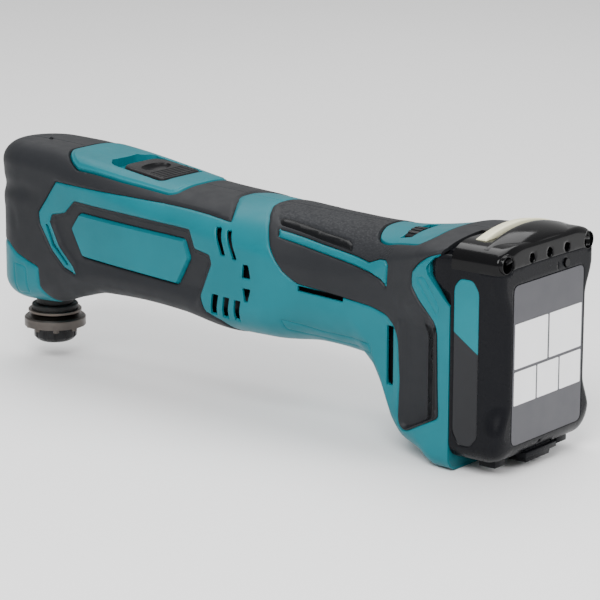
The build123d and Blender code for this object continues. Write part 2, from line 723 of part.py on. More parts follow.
stem_x = knob_front + 8
switch_front = 120.0
switch_rear = 158.0
finger_x = 132.0
with BuildPart() as switch_rod:
    add(block(stem_x, finger_x + 4, -rod_half, rod_half, rod_z, rod_z + rod_thickness))
    add(block(finger_x, finger_x + 4, -2, 2, rod_z - 7.5, rod_z))
    # stem whose sloping top meets the plate under the knob
    stem_drop = (slide_depth + slide_thickness) / cos(radians(slope)) + 0.05
    stem_rear = stem_x + 4
    with BuildSketch(Plane.XZ.offset(-3)):
        with BuildLine():
            Polyline(
                (stem_x, rod_z + rod_thickness), (stem_rear, rod_z + rod_thickness),
                (stem_rear, top_z(stem_rear) - stem_drop), (stem_x, top_z(stem_x) - stem_drop), close=True,
            )
        make_face()
    extrude(amount=6)
save(switch_rod, "switch_rod")

with BuildPart() as switch_body:
    add(block(switch_front, switch_rear, -9, 9, 42, 63))
    add(block(finger_x - switch_travel - 2, finger_x + 4.6, -2.4, 2.4, rod_z - 8.2, 64),
        mode=Mode.SUBTRACT)
save(switch_body, "switch_body")

# ================================================================ speed control
with BuildPart() as speed_dial:
    add(along_x(dial_radius, dial_x - dial_width / 2, dial_x + dial_width / 2, y=dial_y, z=dial_z))
    with BuildSketch(Plane.YZ.offset(dial_x - dial_width / 2)):
        with Locations((dial_y, dial_z)):
            with PolarLocations(dial_radius, 30):
                Circle(0.45)
    extrude(amount=dial_width, mode=Mode.SUBTRACT)
    add(along_x(3.0, dial_x + dial_width / 2, dial_x + dial_width / 2 + 5, y=dial_y, z=dial_z))
save(speed_dial, "speed_dial")

pot_front = dial_x + dial_width / 2 + 1.0
with BuildPart() as speed_potentiometer:
    add(block(pot_front, pot_front + 5.5, dial_y - 6, dial_y + 6, board_z + board_thickness, dial_z + 6))
    add(along_x(3.0 + running_gap, pot_front - 1, pot_front + 4.5, y=dial_y, z=dial_z), mode=Mode.SUBTRACT)
save(speed_potentiometer, "speed_potentiometer")

with BuildPart() as control_board:
    board_top = board_z + board_thickness
    add(block(board_front, board_rear, -board_half, board_half, board_z, board_top))
    add(along_z(5.0, board_top, board_top + 12, x=board_front + 8, y=5))
    add(block(board_front + 3, board_front + 13, -11, -6.5, board_top, board_top + 9))
    add(block(board_front + 16, board_front + 22, -4, 4, board_top, board_top + 1.4))
    add(along_x(4.0, board_front + 16, board_front + 25, y=9, z=board_top + 4))
save(control_board, "control_board")

# ================================================================ work lamp under the head
lamp_x = 29.0
with BuildPart() as lamp_lens:
    add(along_z(3.4, 19.6, 24.2, x=lamp_x))
    fillet(lamp_lens.edges().group_by(Axis.Z)[0], 1.2)
save(lamp_lens, "lamp_lens")

with BuildPart() as lamp_board:
    add(block(lamp_x - 4.6, lamp_x + 4.6, -6, 6, 24.5, 26.0))
save(lamp_board, "lamp_board")


def lead(points, radii, radius):
    """A wire along straight runs joined by arcs."""
    with BuildPart() as wire:
        with BuildLine() as path:
            FilletPolyline(*points, radius=radii)
        with BuildSketch(Plane(origin=path.line @ 0, z_dir=path.line % 0)):
            Circle(radius)
        sweep(path=path.line)
    return wire.part


with BuildPart() as lamp_lead:
    add(lead([(board_front - 0.1, 12, board_z + 0.8), (160, 12, board_z + 0.8), (148, 12, 30.0),
              (44, 12, 30.0), (38, 5, 26.8), (34.3, 4, 25.25)], [8, 8, 10, 3], 0.6))
save(lamp_lead, "lamp_lead")

tab_x = 211.0
with BuildPart() as power_leads:
    for y in (-8, 8):
        add(lead([(tab_x - 0.1, y, 14), (206.8, y, 14), (203, y, 34), (172, y, 45),
                  (switch_rear + 0.1, y, 45)], [3, 6, 12], 1.2))
    for y in (-8, 8):
        add(along_x(1.1, bell_rear + 0.1, switch_front - 0.1, y=y, z=motor_z + 9))
save(power_leads, "power_leads")

# ================================================================ battery terminals of the tool
block_rear = seat_x + block_reach
with BuildPart() as terminal_block:
    add(block(216, block_rear, -block_half, block_half, block_low, block_high))
    add(block(219, seat_x - wall - 0.3, -14.5, 14.5, block_low - 2.5, block_high + 2.5))
    chamfer(terminal_block.edges().group_by(Axis.X)[-1], 0.8)
save(terminal_block, "terminal_block")

blade_rows = [(i - (blade_count - 1) / 2) * blade_pitch for i in range(blade_count)]
blade_thickness = 0.8
blade_x = (228.6, 232.6)
with BuildPart() as terminal_blades:
    for y in blade_rows:
        add(block(blade_x[0], blade_x[1], y - blade_thickness / 2, y + blade_thickness / 2,
                  block_high, block_high + blade_height))
        add(block(tab_x, 216, y - blade_thickness / 2, y + blade_thickness / 2, 11, 17))
save(terminal_blades, "terminal_blades")

# ================================================================ battery
contact_room = 1.6
slot_top = block_high + blade_height + 3.0
board_pocket = (42.5, 71.0)
with BuildPart() as battery_front_case:
    add(block(bat_front, bat_split, -tongue_half, tongue_half, bat_low, tongue_high))
    fillet(battery_front_case.edges().filter_by(Axis.Z).group_by(Axis.X)[0], 1.5)
    # shoulders above the housing's cut-away corners
    with BuildPart(mode=Mode.PRIVATE) as shoulders:
        add(block(bat_front, bat_split, -bat_half + 0.6, bat_half - 0.6, 45, tongue_high))
        add(side_prism([(cheek_cut_front[0], 40), (cheek_cut_front[0], cheek_cut_front[1] + 2 * free_gap),
                        (cheek_cut_rear[0], cheek_cut_rear[1] + 2 * free_gap), (cheek_cut_rear[0], 40)]),
            mode=Mode.SUBTRACT)
    add(shoulders.part)
    # grooves for the housing's rails
    for side in (-1, 1):
        y0, y1 = sorted((side * (cheek_inner - rail_reach - free_gap), side * (bat_half + 1)))
        add(block(rail_x[0] - free_gap, rail_x[1] + free_gap, y0, y1, bat_low - 1, rail_high + 1),
            mode=Mode.SUBTRACT)
    # channel that passes over the tool's terminal block, and the blades' slots
    add(block(bat_front - 1, block_rear + 1.2, -block_half - 0.6, block_half + 0.6,
              bat_low - 1, block_high + 1.2), mode=Mode.SUBTRACT)
    for y in blade_rows:
        add(block(blade_x[0] - 0.6, block_rear + 1.2, y - contact_room, y + contact_room,
                  block_high, slot_top), mode=Mode.SUBTRACT)
    # room for the battery's board, open to the cells
    add(block(bat_front + 2, bat_split + 1, -26, 26, *board_pocket), mode=Mode.SUBTRACT)
    # screw holes
    for y in (-screw_y, screw_y):
        add(along_x(1.5 + running_gap, bat_front + 3, bat_split + 1, y=y, z=battery_screw_z),
            mode=Mode.SUBTRACT)
save(battery_front_case, "battery_front_case")

with BuildPart() as battery_contacts:
    for y in blade_rows:
        x0, x1 = blade_x[0], block_rear + 0.8
        for side in (-1, 1):
            y0, y1 = sorted((y + side * 0.55, y + side * 1.2))
            add(block(x0, x1, y0, y1, block_high + 2, slot_top - 1.2))
        add(block(x0, x1, y - 1.2, y + 1.2, slot_top - 1.8, slot_top - 0.3))
save(battery_contacts, "battery_contacts")

with BuildPart() as battery_board:
    add(block(bat_split - 3.2, bat_split - 1.6, -25.5, 25.5, board_pocket[0] + 0.4, board_pocket[1] - 0.4))
    for y in blade_rows:
        add(block(bat_split - 5.5, bat_split - 3.2, y - 1, y + 1,
                  board_pocket[0] + 0.4, board_pocket[0] + 3.4))
    add(block(bat_split - 5.0, bat_split - 3.2, -6, 6, 54, 62))
save(battery_board, "battery_board")

bat_outline_depth = bat_rear - bat_split
case_screw_seat = 253.5
tower_radius = 4.8
lamp_z = 70.3
lamp_radius = 1.85
lamp_rows = (-12, 0, 12)
key_y = 11.5
key_z = 64.2
key_radius = 1.6
gauge_z = (66.7, 75.0)
gauge_half = 20.5
gauge_thickness = 0.8
badge_x = (238.5, 249.0)
badge_z = (1.5, 63.5)
badge_thickness = 0.6


def battery_block(inset):
    """The rear shell's outside form, shrunk by inset on all sides but the front."""
    with BuildPart() as form:
        with BuildSketch(Plane.XY.offset(bat_low + inset)):
            with Locations((bat_split + (bat_outline_depth - inset) / 2, 0)):
                Rectangle(bat_outline_depth - inset, 2 * (bat_half - inset))
            fillet(vertices().group_by(Axis.X)[-1], bat_corner - inset)
        extrude(amount=bat_high - bat_low - 2 * inset)
    return form


with BuildPart() as battery_rear_case:
    add(battery_block(0.0).part)
    fillet(battery_rear_case.edges().group_by(Axis.Z)[-1], 2.0)
    fillet(battery_rear_case.edges().group_by(Axis.Z)[0], 2.0)
    add(battery_block(bat_wall).part, mode=Mode.SUBTRACT)
    # lug under the case
    add(block(250.5, 256.5, -12.5, 12.5, foot_z, bat_low + 0.5))
    # screw towers
    for y in (-screw_y, screw_y):
        with BuildPart(mode=Mode.PRIVATE) as tower:
            add(along_x(tower_radius, bat_split, bat_rear, y=y, z=battery_screw_z))
            add(battery_block(1.0).part, mode=Mode.INTERSECT)
        add(tower.part)
    for y in (-screw_y, screw_y):
        add(along_x(3.9, case_screw_seat, bat_rear + 1, y=y, z=battery_screw_z), mode=Mode.SUBTRACT)
        add(along_x(1.5 + screw_gap, bat_split - 1, bat_rear, y=y, z=battery_screw_z), mode=Mode.SUBTRACT)
    # rear face: pocket of the gauge panel, lamp holes and the check button's hole
    add(block(bat_rear - gauge_thickness, bat_rear + 1, -gauge_half, gauge_half, *gauge_z),
        mode=Mode.SUBTRACT)
    for y in lamp_rows:
        add(along_x(lamp_radius + 0.05, bat_rear - 5, bat_rear, y=y, z=lamp_z), mode=Mode.SUBTRACT)
    add(along_x(key_radius + 0.1, bat_rear - 5, bat_rear + 1, y=key_y, z=key_z), mode=Mode.SUBTRACT)
    # pockets of the side badges
    for side in (-1, 1):
        y0, y1 = sorted((side * (bat_half - badge_thickness), side * (bat_half + 1)))
        add(block(*badge_x, y0, y1, *badge_z), mode=Mode.SUBTRACT)
save(battery_rear_case, "battery_rear_case")

with BuildPart() as gauge_panel:
    add(block(bat_rear - gauge_thickness + 0.05, bat_rear + 0.1, -gauge_half + 0.15, gauge_half - 0.15,
              gauge_z[0] + 0.15, gauge_z[1] - 0.15))
    for y in lamp_rows:
        add(along_x(lamp_radius + 0.05, bat_rear - 3, bat_rear + 3, y=y, z=lamp_z), mode=Mode.SUBTRACT)
save(gauge_panel, "gauge_panel")

with BuildPart() as charge_lamps:
    for y in lamp_rows:
        add(along_x(lamp_radius, bat_rear - bat_wall, bat_rear, y=y, z=lamp_z))
save(charge_lamps, "charge_lamps")

key_travel = 0.6
with BuildPart() as check_button:
    add(along_x(key_radius, bat_rear - bat_wall, bat_rear + key_travel + 0.1, y=key_y, z=key_z))
save(check_button, "check_button")

with BuildPart() as battery_label:
    add(block(bat_rear, bat_rear + 0.4, -24.5, 24.5, -1.9, 61.5))
    fillet(battery_label.edges().filter_by(Axis.X), 3.0)
save(battery_label, "battery_label")

with BuildPart() as battery_badges:
    for side in (-1, 1):
        y0, y1 = sorted((side * (bat_half - badge_thickness + 0.05), side * bat_half))
        add(block(badge_x[0] + 0.15, badge_x[1] - 0.15, y0, y1, badge_z[0] + 0.15, badge_z[1] - 0.15))
save(battery_badges, "battery_badges")

with BuildPart() as battery_screws:
    for y in (-screw_y, screw_y):
        add(along_x(3.0, case_screw_seat, case_screw_seat + 2.2, y=y, z=battery_screw_z))
        add(along_x(1.5, bat_front + 4, case_screw_seat, y=y, z=battery_screw_z))
        with BuildSketch(Plane.YZ.offset(case_screw_seat + 2.2)):
            with Locations((y, battery_screw_z)):
                Rectangle(3.4, 0.8)
                Rectangle(0.8, 3.4)
        extrude(amount=-1.2, mode=Mode.SUBTRACT)
save(battery_screws, "battery_screws")

cell_x = bat_split + 0.7 + cell_radius
cell_rows = (-cell_pitch, 0, cell_pitch)
with BuildPart() as battery_cells:
    for y in cell_rows:
        add(along_z(cell_radius, cell_low, cell_low + cell_length, x=cell_x, y=y))
        add(along_z(3.0, cell_low + cell_length, cell_low + cell_length + 1.0, x=cell_x, y=y))
save(battery_cells, "battery_cells")

with BuildPart() as cell_holders:
    for z in (cell_low + 4, cell_low + cell_length - 8):
        add(block(bat_split + 0.3, bat_rear - bat_wall - 0.3, -bat_half + bat_wall + 0.3,
                  bat_half - bat_wall - 0.3, z, z + 2.5) & battery_block(bat_wall + 0.3).part)
    for y in cell_rows:
        add(along_z(cell_radius + 0.05, 0, 80, x=cell_x, y=y), mode=Mode.SUBTRACT)
save(cell_holders, "cell_holders")

# ================================================================ battery top plate and latch
plate_x = (247.0, 259.5)
plate_half = 26.0
plate_low = bat_high
arch_low = 77.6
arch_high = 80.6
latch_half = 16.5
with BuildPart() as battery_top_plate:
    with BuildSketch(Plane.YZ.offset(plate_x[0])):
        with BuildLine():
            ThreePointArc((-plate_half, arch_low), (0, arch_high), (plate_half, arch_low))
            Polyline((plate_half, arch_low), (plate_half, plate_low),
                     (-plate_half, plate_low), (-plate_half, arch_low))
        make_face()
    extrude(amount=plate_x[1] - plate_x[0])
    add(block(plate_x[0] - 1, plate_x[1] - 3, -latch_half - 0.5, latch_half + 0.5, plate_low, 78.6),
        mode=Mode.SUBTRACT)
save(battery_top_plate, "battery_top_plate")

latch_low = bat_high + free_gap
with BuildPart() as latch_button:
    add(block(240.5, 252.0, -latch_half, latch_half, latch_low, 78.3))
    add(block(240.5, plate_x[0] - free_gap - latch_travel, -latch_half, latch_half, 78.0, 80.0))
save(latch_button, "latch_button")

with BuildPart() as latch_hook:
    add(block(seat_x + 0.7, 240.5, -7, 7, latch_low, 78.3))
    add(block(seat_x + 0.7, 233.0, -7, 7, tongue_high + free_gap, latch_low))
save(latch_hook, "latch_hook")
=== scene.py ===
"""Looks of a cordless oscillating multi-tool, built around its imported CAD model.

The casing's skin is one grid over the smooth casing form. It is cut along the outlines of
every panel, grip, slot and groove, raised or sunk there, and parted into separate pieces.
Casing sizes are in millimetres, as in the CAD source, and become metres as a mesh is made.
"""
import bpy
import bmesh
import numpy as np
from math import cos, pi, radians, sin
from mathutils import Matrix, Vector


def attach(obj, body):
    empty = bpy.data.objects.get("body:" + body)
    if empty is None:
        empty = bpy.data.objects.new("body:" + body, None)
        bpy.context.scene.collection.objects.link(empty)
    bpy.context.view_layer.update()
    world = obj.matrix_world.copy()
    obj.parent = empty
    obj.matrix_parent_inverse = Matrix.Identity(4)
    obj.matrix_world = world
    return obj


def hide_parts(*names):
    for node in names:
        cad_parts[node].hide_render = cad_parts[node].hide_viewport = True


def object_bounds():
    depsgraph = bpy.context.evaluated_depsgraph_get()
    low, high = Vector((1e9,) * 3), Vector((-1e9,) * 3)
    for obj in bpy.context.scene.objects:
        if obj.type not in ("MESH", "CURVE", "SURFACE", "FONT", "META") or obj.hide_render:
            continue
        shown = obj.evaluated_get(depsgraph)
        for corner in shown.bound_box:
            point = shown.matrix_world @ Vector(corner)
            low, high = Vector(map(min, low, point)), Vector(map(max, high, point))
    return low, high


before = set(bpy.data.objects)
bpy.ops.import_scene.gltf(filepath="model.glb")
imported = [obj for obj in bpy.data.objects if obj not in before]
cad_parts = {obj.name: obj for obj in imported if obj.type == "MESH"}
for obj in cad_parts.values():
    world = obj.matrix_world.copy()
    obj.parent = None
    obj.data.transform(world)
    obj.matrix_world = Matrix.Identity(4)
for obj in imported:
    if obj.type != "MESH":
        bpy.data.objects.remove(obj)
cad_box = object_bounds()
MM = 0.001
RIGHT = -1              # signs of Y
LEFT = 1
SIDES = (("right", RIGHT), ("left", LEFT))
SPECULAR = 0.3


# ---- materials
def shader_of(mat):
    return mat.node_tree.nodes["Principled BSDF"]


def new_material(name, color, rough, metal=0.0, specular=SPECULAR):
    """A material with its shader, and the node tree that the helpers below add to."""
    mat = bpy.data.materials.new(name)
    mat.use_nodes = True
    shader = shader_of(mat)
    shader.inputs["Base Color"].default_value = (*color, 1.0)
    shader.inputs["Roughness"].default_value = rough
    shader.inputs["Metallic"].default_value = metal
    shader.inputs["Specular IOR Level"].default_value = specular
    return mat


def add_node(mat, kind, **inputs):
    node = mat.node_tree.nodes.new(kind)
    for name, value in inputs.items():
        node.inputs[name.replace("_", " ")].default_value = value
    return node


def link(mat, source, target):
    mat.node_tree.links.new(source, target)


def noise(mat, scale, detail=2.0, stretch=(1.0, 1.0, 1.0)):
    """Noise in object space; scale is in features per metre."""
    coords = add_node(mat, "ShaderNodeTexCoord")
    mapping = add_node(mat, "ShaderNodeMapping", Scale=stretch)
    tex = add_node(mat, "ShaderNodeTexNoise", Scale=scale, Detail=detail)
    link(mat, coords.outputs["Object"], mapping.inputs["Vector"])
    link(mat, mapping.outputs["Vector"], tex.inputs["Vector"])
    return tex.outputs["Fac"]


RAMP_ENDS = (0.35, 0.65)     # where in the noise the colour ramp starts and ends
ROUGH_ENDS = {"From_Min": 0.3, "From_Max": 0.7}


def vary_color(mat, factor, low, high):
    """Base colour runs from low to high with the factor."""
    ramp = add_node(mat, "ShaderNodeValToRGB")
    for element, color, position in zip(ramp.color_ramp.elements, (low, high), RAMP_ENDS):
        element.color = (*color, 1.0)
        element.position = position
    link(mat, factor, ramp.inputs["Fac"])
    link(mat, ramp.outputs["Color"], shader_of(mat).inputs["Base Color"])


def vary_rough(mat, factor, low, high):
    spread = add_node(mat, "ShaderNodeMapRange", To_Min=low, To_Max=high, **ROUGH_ENDS)
    link(mat, factor, spread.inputs["Value"])
    link(mat, spread.outputs["Result"], shader_of(mat).inputs["Roughness"])


def add_bump(mat, height, depth):
    """Bump of the given depth in metres."""
    bump = add_node(mat, "ShaderNodeBump", Strength=1.0, Distance=depth)
    link(mat, height, bump.inputs["Height"])
    link(mat, bump.outputs["Normal"], shader_of(mat).inputs["Normal"])


def tinted(color, share):
    return tuple(min(1.0, c * share) for c in color)


def moulded(name, color, rough, grain, depth, tint=0.06, **shading):
    """Moulded plastic or elastomer: a fine grain, soft mottling and uneven gloss."""
    mat = new_material(name, color, rough, **shading)
    vary_color(mat, noise(mat, 45.0, 4.0), tinted(color, 1 - tint), tinted(color, 1 + tint))
    vary_rough(mat, noise(mat, 160.0, 5.0), rough - 0.05, rough + 0.06)
    add_bump(mat, noise(mat, grain, 3.0), depth)
    return mat


def stippled(name, color, rough, pitch, depth, **shading):
    """Elastomer with a pebbled grip texture."""
    mat = new_material(name, color, rough, **shading)
    coords = add_node(mat, "ShaderNodeTexCoord")
    cells = add_node(mat, "ShaderNodeTexVoronoi", Scale=1.0 / pitch)
    cells.feature = "SMOOTH_F1"
    link(mat, coords.outputs["Object"], cells.inputs["Vector"])
    vary_color(mat, noise(mat, 60.0, 4.0), tinted(color, 0.92), tinted(color, 1.1))
    vary_rough(mat, cells.outputs["Distance"], rough - 0.08, rough + 0.1)
    add_bump(mat, cells.outputs["Distance"], depth)
    return mat


TURNING_MARKS = (30.0, 30.0, 2500.0)     # features per metre: long round the axis, fine along it
TURNING_DEPTH = 0.00002


def turned_metal(name, color, rough, metal=1.0):
    """Machined metal: fine marks in one direction and slightly uneven colour."""
    mat = new_material(name, color, rough, metal)
    vary_color(mat, noise(mat, 90.0, 4.0), tinted(color, 0.8), tinted(color, 1.15))
    marks = noise(mat, 1.0, 2.0, TURNING_MARKS)
    vary_rough(mat, marks, rough - 0.06, rough + 0.1)
    add_bump(mat, marks, TURNING_DEPTH)
    return mat


TEAL = (0.0008, 0.118, 0.146)
CHARCOAL = (0.0125, 0.0135, 0.0158)
teal = moulded("teal_plastic", TEAL, 0.42, 2600.0, 0.00002, specular=0.2)
# Teal darkened for the housing's inner faces: painted shade on the same plastic
teal_painted_shade = moulded("teal_painted_shade", tinted(TEAL, 0.75), 0.5, 1800.0, 0.00002)
rubber = moulded("grip_elastomer", CHARCOAL, 0.55, 2400.0, 0.00003, specular=0.2)
rubber_stippled = stippled("grip_elastomer_stippled", CHARCOAL, 0.6, 0.0011, 0.00022, specular=0.18)
# Darker smooth elastomer: the raised rib's own finish, and painted shade where it covers the finger
# recess's rear wall
rubber_smooth_and_painted_shade = moulded(
    "grip_elastomer_smooth_and_painted_shade", tinted(CHARCOAL, 0.35), 0.3, 1500.0, 0.00001, specular=0.1
)
satin_black = moulded("satin_black", (0.006, 0.006, 0.007), 0.36, 2600.0, 0.00002, specular=0.12)
battery_black = moulded(
    "battery_black", (0.0055, 0.0058, 0.0072), 0.27, 2600.0, 0.000015, specular=0.08
)
badge_teal = moulded("badge_film_teal", (0.0015, 0.135, 0.165), 0.4, 2600.0, 0.00001, specular=0.2)
badge_grey = moulded("badge_film_grey", (0.016, 0.0165, 0.0185), 0.4, 2600.0, 0.00001, specular=0.16)
gloss_black = moulded("gloss_black", (0.0018, 0.0018, 0.0022), 0.13, 700.0, 0.000004, specular=0.16)
label_grey = moulded("label_film_grey", (0.058, 0.058, 0.066), 0.38, 3000.0, 0.000006, 0.03)
label_white = moulded("label_film_white", (0.84, 0.84, 0.85), 0.38, 3000.0, 0.000006, 0.02)
cream = moulded("cream_plastic", (0.72, 0.70, 0.50), 0.42, 2400.0, 0.00002, 0.04)
flange_steel = turned_metal("flange_steel", (0.095, 0.085, 0.078), 0.36)
bronzed = turned_metal("bronzed_ring", (0.10, 0.085, 0.075), 0.34)
black_oxide = turned_metal("black_oxide", (0.02, 0.02, 0.021), 0.34, metal=0.6)
seal_rubber = moulded("seal_rubber", (0.02, 0.02, 0.02), 0.5, 2000.0, 0.00003, specular=0.16)
bright_steel = turned_metal("bright_steel", (0.6, 0.6, 0.61), 0.28)
cast_metal = moulded("cast_metal", (0.55, 0.55, 0.56), 0.45, 900.0, 0.00006, metal=1.0)
copper_wire = turned_metal("copper_wire", (0.72, 0.34, 0.18), 0.3)
brass_metal = turned_metal("brass_metal", (0.70, 0.52, 0.22), 0.3)
board_green = moulded("board_green", (0.02, 0.14, 0.06), 0.35, 900.0, 0.00002)
lead_red = moulded("lead_insulation", (0.32, 0.03, 0.02), 0.4, 1500.0, 0.00002)
cell_sleeve = moulded("cell_sleeve", (0.08, 0.32, 0.18), 0.3, 500.0, 0.00003)
lens_clear = moulded("lens_clear", (0.85, 0.87, 0.88), 0.12, 600.0, 0.000004, 0.02)


# ---- meshes
def mesh_object(name, points, faces):
    """An object in the scene from points in millimetres."""
    mesh = bpy.data.meshes.new(name)
    mesh.from_pydata([tuple(p) for p in np.asarray(points, float) * MM], [], [tuple(f) for f in faces])
    mesh.validate()
    thing = bpy.data.objects.new(name, mesh)
    bpy.context.scene.collection.objects.link(thing)
    return thing


def dress(piece, mat, body, stands_for, sharp):
    """Shades a piece, gives it its material, and lets it ride on a CAD body."""
    mesh = piece.data
    mesh.polygons.foreach_set("use_smooth", [True] * len(mesh.polygons))
    mesh.set_sharp_from_angle(angle=radians(sharp))
    mesh.materials.clear()
    mesh.materials.append(mat)
    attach(piece, body)
    if stands_for:
        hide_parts(*stands_for)


def smooth_table(rows, places):
    """Each column of rows read at the places, along a smooth curve through the rows."""
    rows = np.array(rows, float)
    xs = rows[:, 0]
    i = np.clip(np.searchsorted(xs, places, side="right") - 1, 0, len(xs) - 2)
    span = xs[i + 1] - xs[i]
    t = (places - xs[i]) / span
    columns = []
    for column in rows.T[1:]:
        steps = np.diff(column) / np.diff(xs)
        slopes = np.empty_like(column)
        slopes[1:-1] = np.where(
            steps[1:] * steps[:-1] > 0,
            2 * steps[1:] * steps[:-1] / (steps[1:] + steps[:-1] + 1e-12), 0.0,
        )
        slopes[0], slopes[-1] = steps[0], steps[-1]
        a, b, m0, m1 = column[i], column[i + 1], slopes[i] * span, slopes[i + 1] * span
        columns.append(
            (2 * t**3 - 3 * t**2 + 1) * a + (t**3 - 2 * t**2 + t) * m0
            + (3 * t**2 - 2 * t**3) * b + (t**3 - t**2) * m1
        )
    return columns


def rounded(outline, reach):
    """The outline with each corner turned into a short curve that starts reach before it."""
    out = []
    count = len(outline)
    for k in range(count):
        before, here, after = (np.array(outline[(k + s) % count], float) for s in (-1, 0, 1))
        cut_in = min(reach, 0.45 * np.linalg.norm(here - before))
        cut_out = min(reach, 0.45 * np.linalg.norm(after - here))
        start = here + (before - here) / np.linalg.norm(before - here) * cut_in
        end = here + (after - here) / np.linalg.norm(after - here) * cut_out
        for t in (0.0, 0.25, 0.5, 0.75, 1.0):
            out.append(tuple((1 - t) ** 2 * start + 2 * t * (1 - t) * here + t**2 * end))
    return out


def line_distance(points, line, closed=False):
    """Distance from each point in the plane to a polyline."""
    line = np.array(line, float)
    ends = np.roll(line, -1, axis=0) if closed else line[1:]
    best = np.full(len(points), 1e9)
    for a, b in zip(line, ends):
        along = b - a
        t = np.clip(((points - a) @ along) / max(along @ along, 1e-12), 0, 1)
        best = np.minimum(best, np.hypot(*(points - a - t[:, None] * along).T))
    return best


def rectangle(u0, u1, v0, v1):
    return [(u0, v0), (u1, v0), (u1, v1), (u0, v1)]


def both_sides(half):
    """An outline in X and Y from its points on the right-hand side."""
    return half + [(x, -y) for x, y in reversed(half) if y]


def outline_distance(points, outline):
    """Signed distance to a closed outline, negative inside."""
    distance = line_distance(points, outline, closed=True)
    inside = np.zeros(len(points), bool)
    x, z = points.T
    for (x0, z0), (x1, z1) in zip(outline, outline[1:] + outline[:1]):
        if z0 == z1:
            continue
        crosses = (z0 > z) != (z1 > z)
        inside ^= crosses & (x < (x1 - x0) * (z - z0) / (z1 - z0) + x0)
    return np.where(inside, -distance, distance)


NOWHERE = 1e6   # a distance that means "this feature isn't on this side"


def side_field(outline, away=0.0):
    """Signed distance in X and Z to an outline on the casing's sides, away from its middle."""
    def field(p):
        return np.where(np.abs(p[:, 1]) >= away, outline_distance(p[:, [0, 2]], outline), NOWHERE)
    return field


def top_field(outline, lowest=60.0):
    """Signed distance in X and Y to an outline on the casing's top."""
    def field(p):
        return np.where(p[:, 2] > lowest, outline_distance(p[:, :2], outline), NOWHERE)
    return field


def line_field(line, away):
    """Distance in X and Z to a line on the casing's sides."""
    def field(p):
        return np.where(np.abs(p[:, 1]) >= away, line_distance(p[:, [0, 2]], line), NOWHERE)
    return field


def holes_field(places, plane, inside):
    """Signed distance to the nearest of some round holes in a plane, where inside allows it."""
    def field(p):
        best = np.full(len(p), NOWHERE)
        for u, v, radius in places:
            best = np.minimum(best, np.hypot(p[:, plane[0]] - u, p[:, plane[1]] - v) - radius)
        return np.where(inside(p), best, NOWHERE)
    return field


# ---- the casing's form
# Place along X, half width, lowest Z, highest Z, height of the corners, and how far in the
# corners' arcs reach along Y over the top and along the underside.
CASING = [
    (0, 20.6, 14.5, 83.0, 9.0, 9.0, 9.0), (16, 21.6, 15.4, 82.6, 9.5, 9.5, 9.5),
    (30, 23.4, 19.8, 81.2, 10.0, 10.5, 11.0), (46, 25.2, 23.4, 79.35, 11.0, 13.0, 16.0),
    (66, 26.6, 23.0, 77.05, 12.0, 18.0, 23.0), (92, 27.8, 21.2, 74.3, 13.0, 24.0, 27.0),
    (118, 28.9, 17.6, 73.4, 15.0, 28.0, 28.0), (138, 28.5, 17.4, 72.7, 17.0, 28.0, 28.0),
    (160, 26.3, 19.2, 72.1, 20.0, 26.0, 26.0), (182, 25.6, 18.0, 71.6, 20.0, 25.3, 24.0),
    (192, 25.9, 13.5, 71.7, 17.0, 25.0, 19.0), (198, 26.2, 6.5, 72.0, 14.0, 25.0, 15.0),
    (202, 26.5, -0.5, 72.4, 11.5, 25.0, 12.0), (205, 26.9, -5.2, 72.7, 10.0, 25.5, 10.0),
    (210, 28.4, -8.4, 73.4, 9.0, 27.0, 9.0), (216, 30.2, -9.4, 74.4, 8.2, 28.5, 8.0),
    (220.5, 31.3, -10.4, 75.3, 7.4, 29.0, 7.5), (224.5, 31.8, -13.2, 75.5, 7.0, 29.3, 7.0),
    (228.5, 32.2, -14.4, 75.5, 6.6, 29.6, 7.0),
    (236.5, 32.5, -14.5, 75.5, 6.0, 30.0, 6.5),
]
CASING_REAR = 236.5
STEP = 1.15             # spacing of the grid
NOSE_STEPS = 28         # grid steps round half of the front end
SECTION_STEPS = (8, 24, 36, 20, 9)     # grid steps over top, corner, side, corner and underside


def section_rows(sizes, upper_corner, lower_corner, steps):
    """Points of one side's section from the top's middle to the underside's middle.

    Sizes are the half width, lowest Z and highest Z, and a corner is its reach along Y and its height.
    """
    half, low, high = sizes
    over, drop = upper_corner
    under, rise = lower_corner
    top, upper, side, lower, floor = (np.linspace(0, 1, n, endpoint=False) for n in steps)
    upper, lower = upper * pi / 2, lower * pi / 2
    y = np.concatenate([
        top * (half - over), half - over + over * np.sin(upper), np.full(len(side), half),
        half - under + under * np.cos(lower), (1 - floor) * (half - under), [0.0],
    ])
    z = np.concatenate([
        np.full(len(top), high), high - drop + drop * np.cos(upper),
        high - drop + side * (low - high + (drop + rise)), low + rise - rise * np.sin(lower),
        np.full(len(floor) + 1, low),
    ])
    return y, z


def casing_section(half, low, high, corner, over, under):
    return section_rows((half, low, high), (over, corner), (under, corner), SECTION_STEPS)


def mirrored(grid, normals):
    """Points, normals and triangles of a grid over the left half, and of its mirror image."""
    cols, rows = grid.shape[:2]
    ids = np.arange(cols * rows).reshape(cols, rows)
    a, b, c, d = ids[:-1, :-1].ravel(), ids[1:, :-1].ravel(), ids[1:, 1:].ravel(), ids[:-1, 1:].ravel()
    left = np.concatenate([np.stack([a, b, c], 1), np.stack([a, c, d], 1)])
    points, normals = grid.reshape(-1, 3), normals.reshape(-1, 3)
    flip = np.array([1, -1, 1])
    return (np.concatenate([points, points * flip]), np.concatenate([normals, normals * flip]),
            np.concatenate([left, left[:, ::-1] + len(points)]))


def column_at(x, y, z):
    return np.stack([np.full(len(y), x), y, z], axis=1)


def unit(normals):
    return normals / np.maximum(np.linalg.norm(normals, axis=-1, keepdims=True), 1e-9)


def outward(grid):
    """Normals of a grid whose columns follow X, each from the top round to the underside."""
    normals = np.cross(np.gradient(grid, axis=0), np.gradient(grid, axis=1))
    normals[:, [0, -1], 1] = 0.0     # at the seam they lie in the middle plane
    return unit(normals)


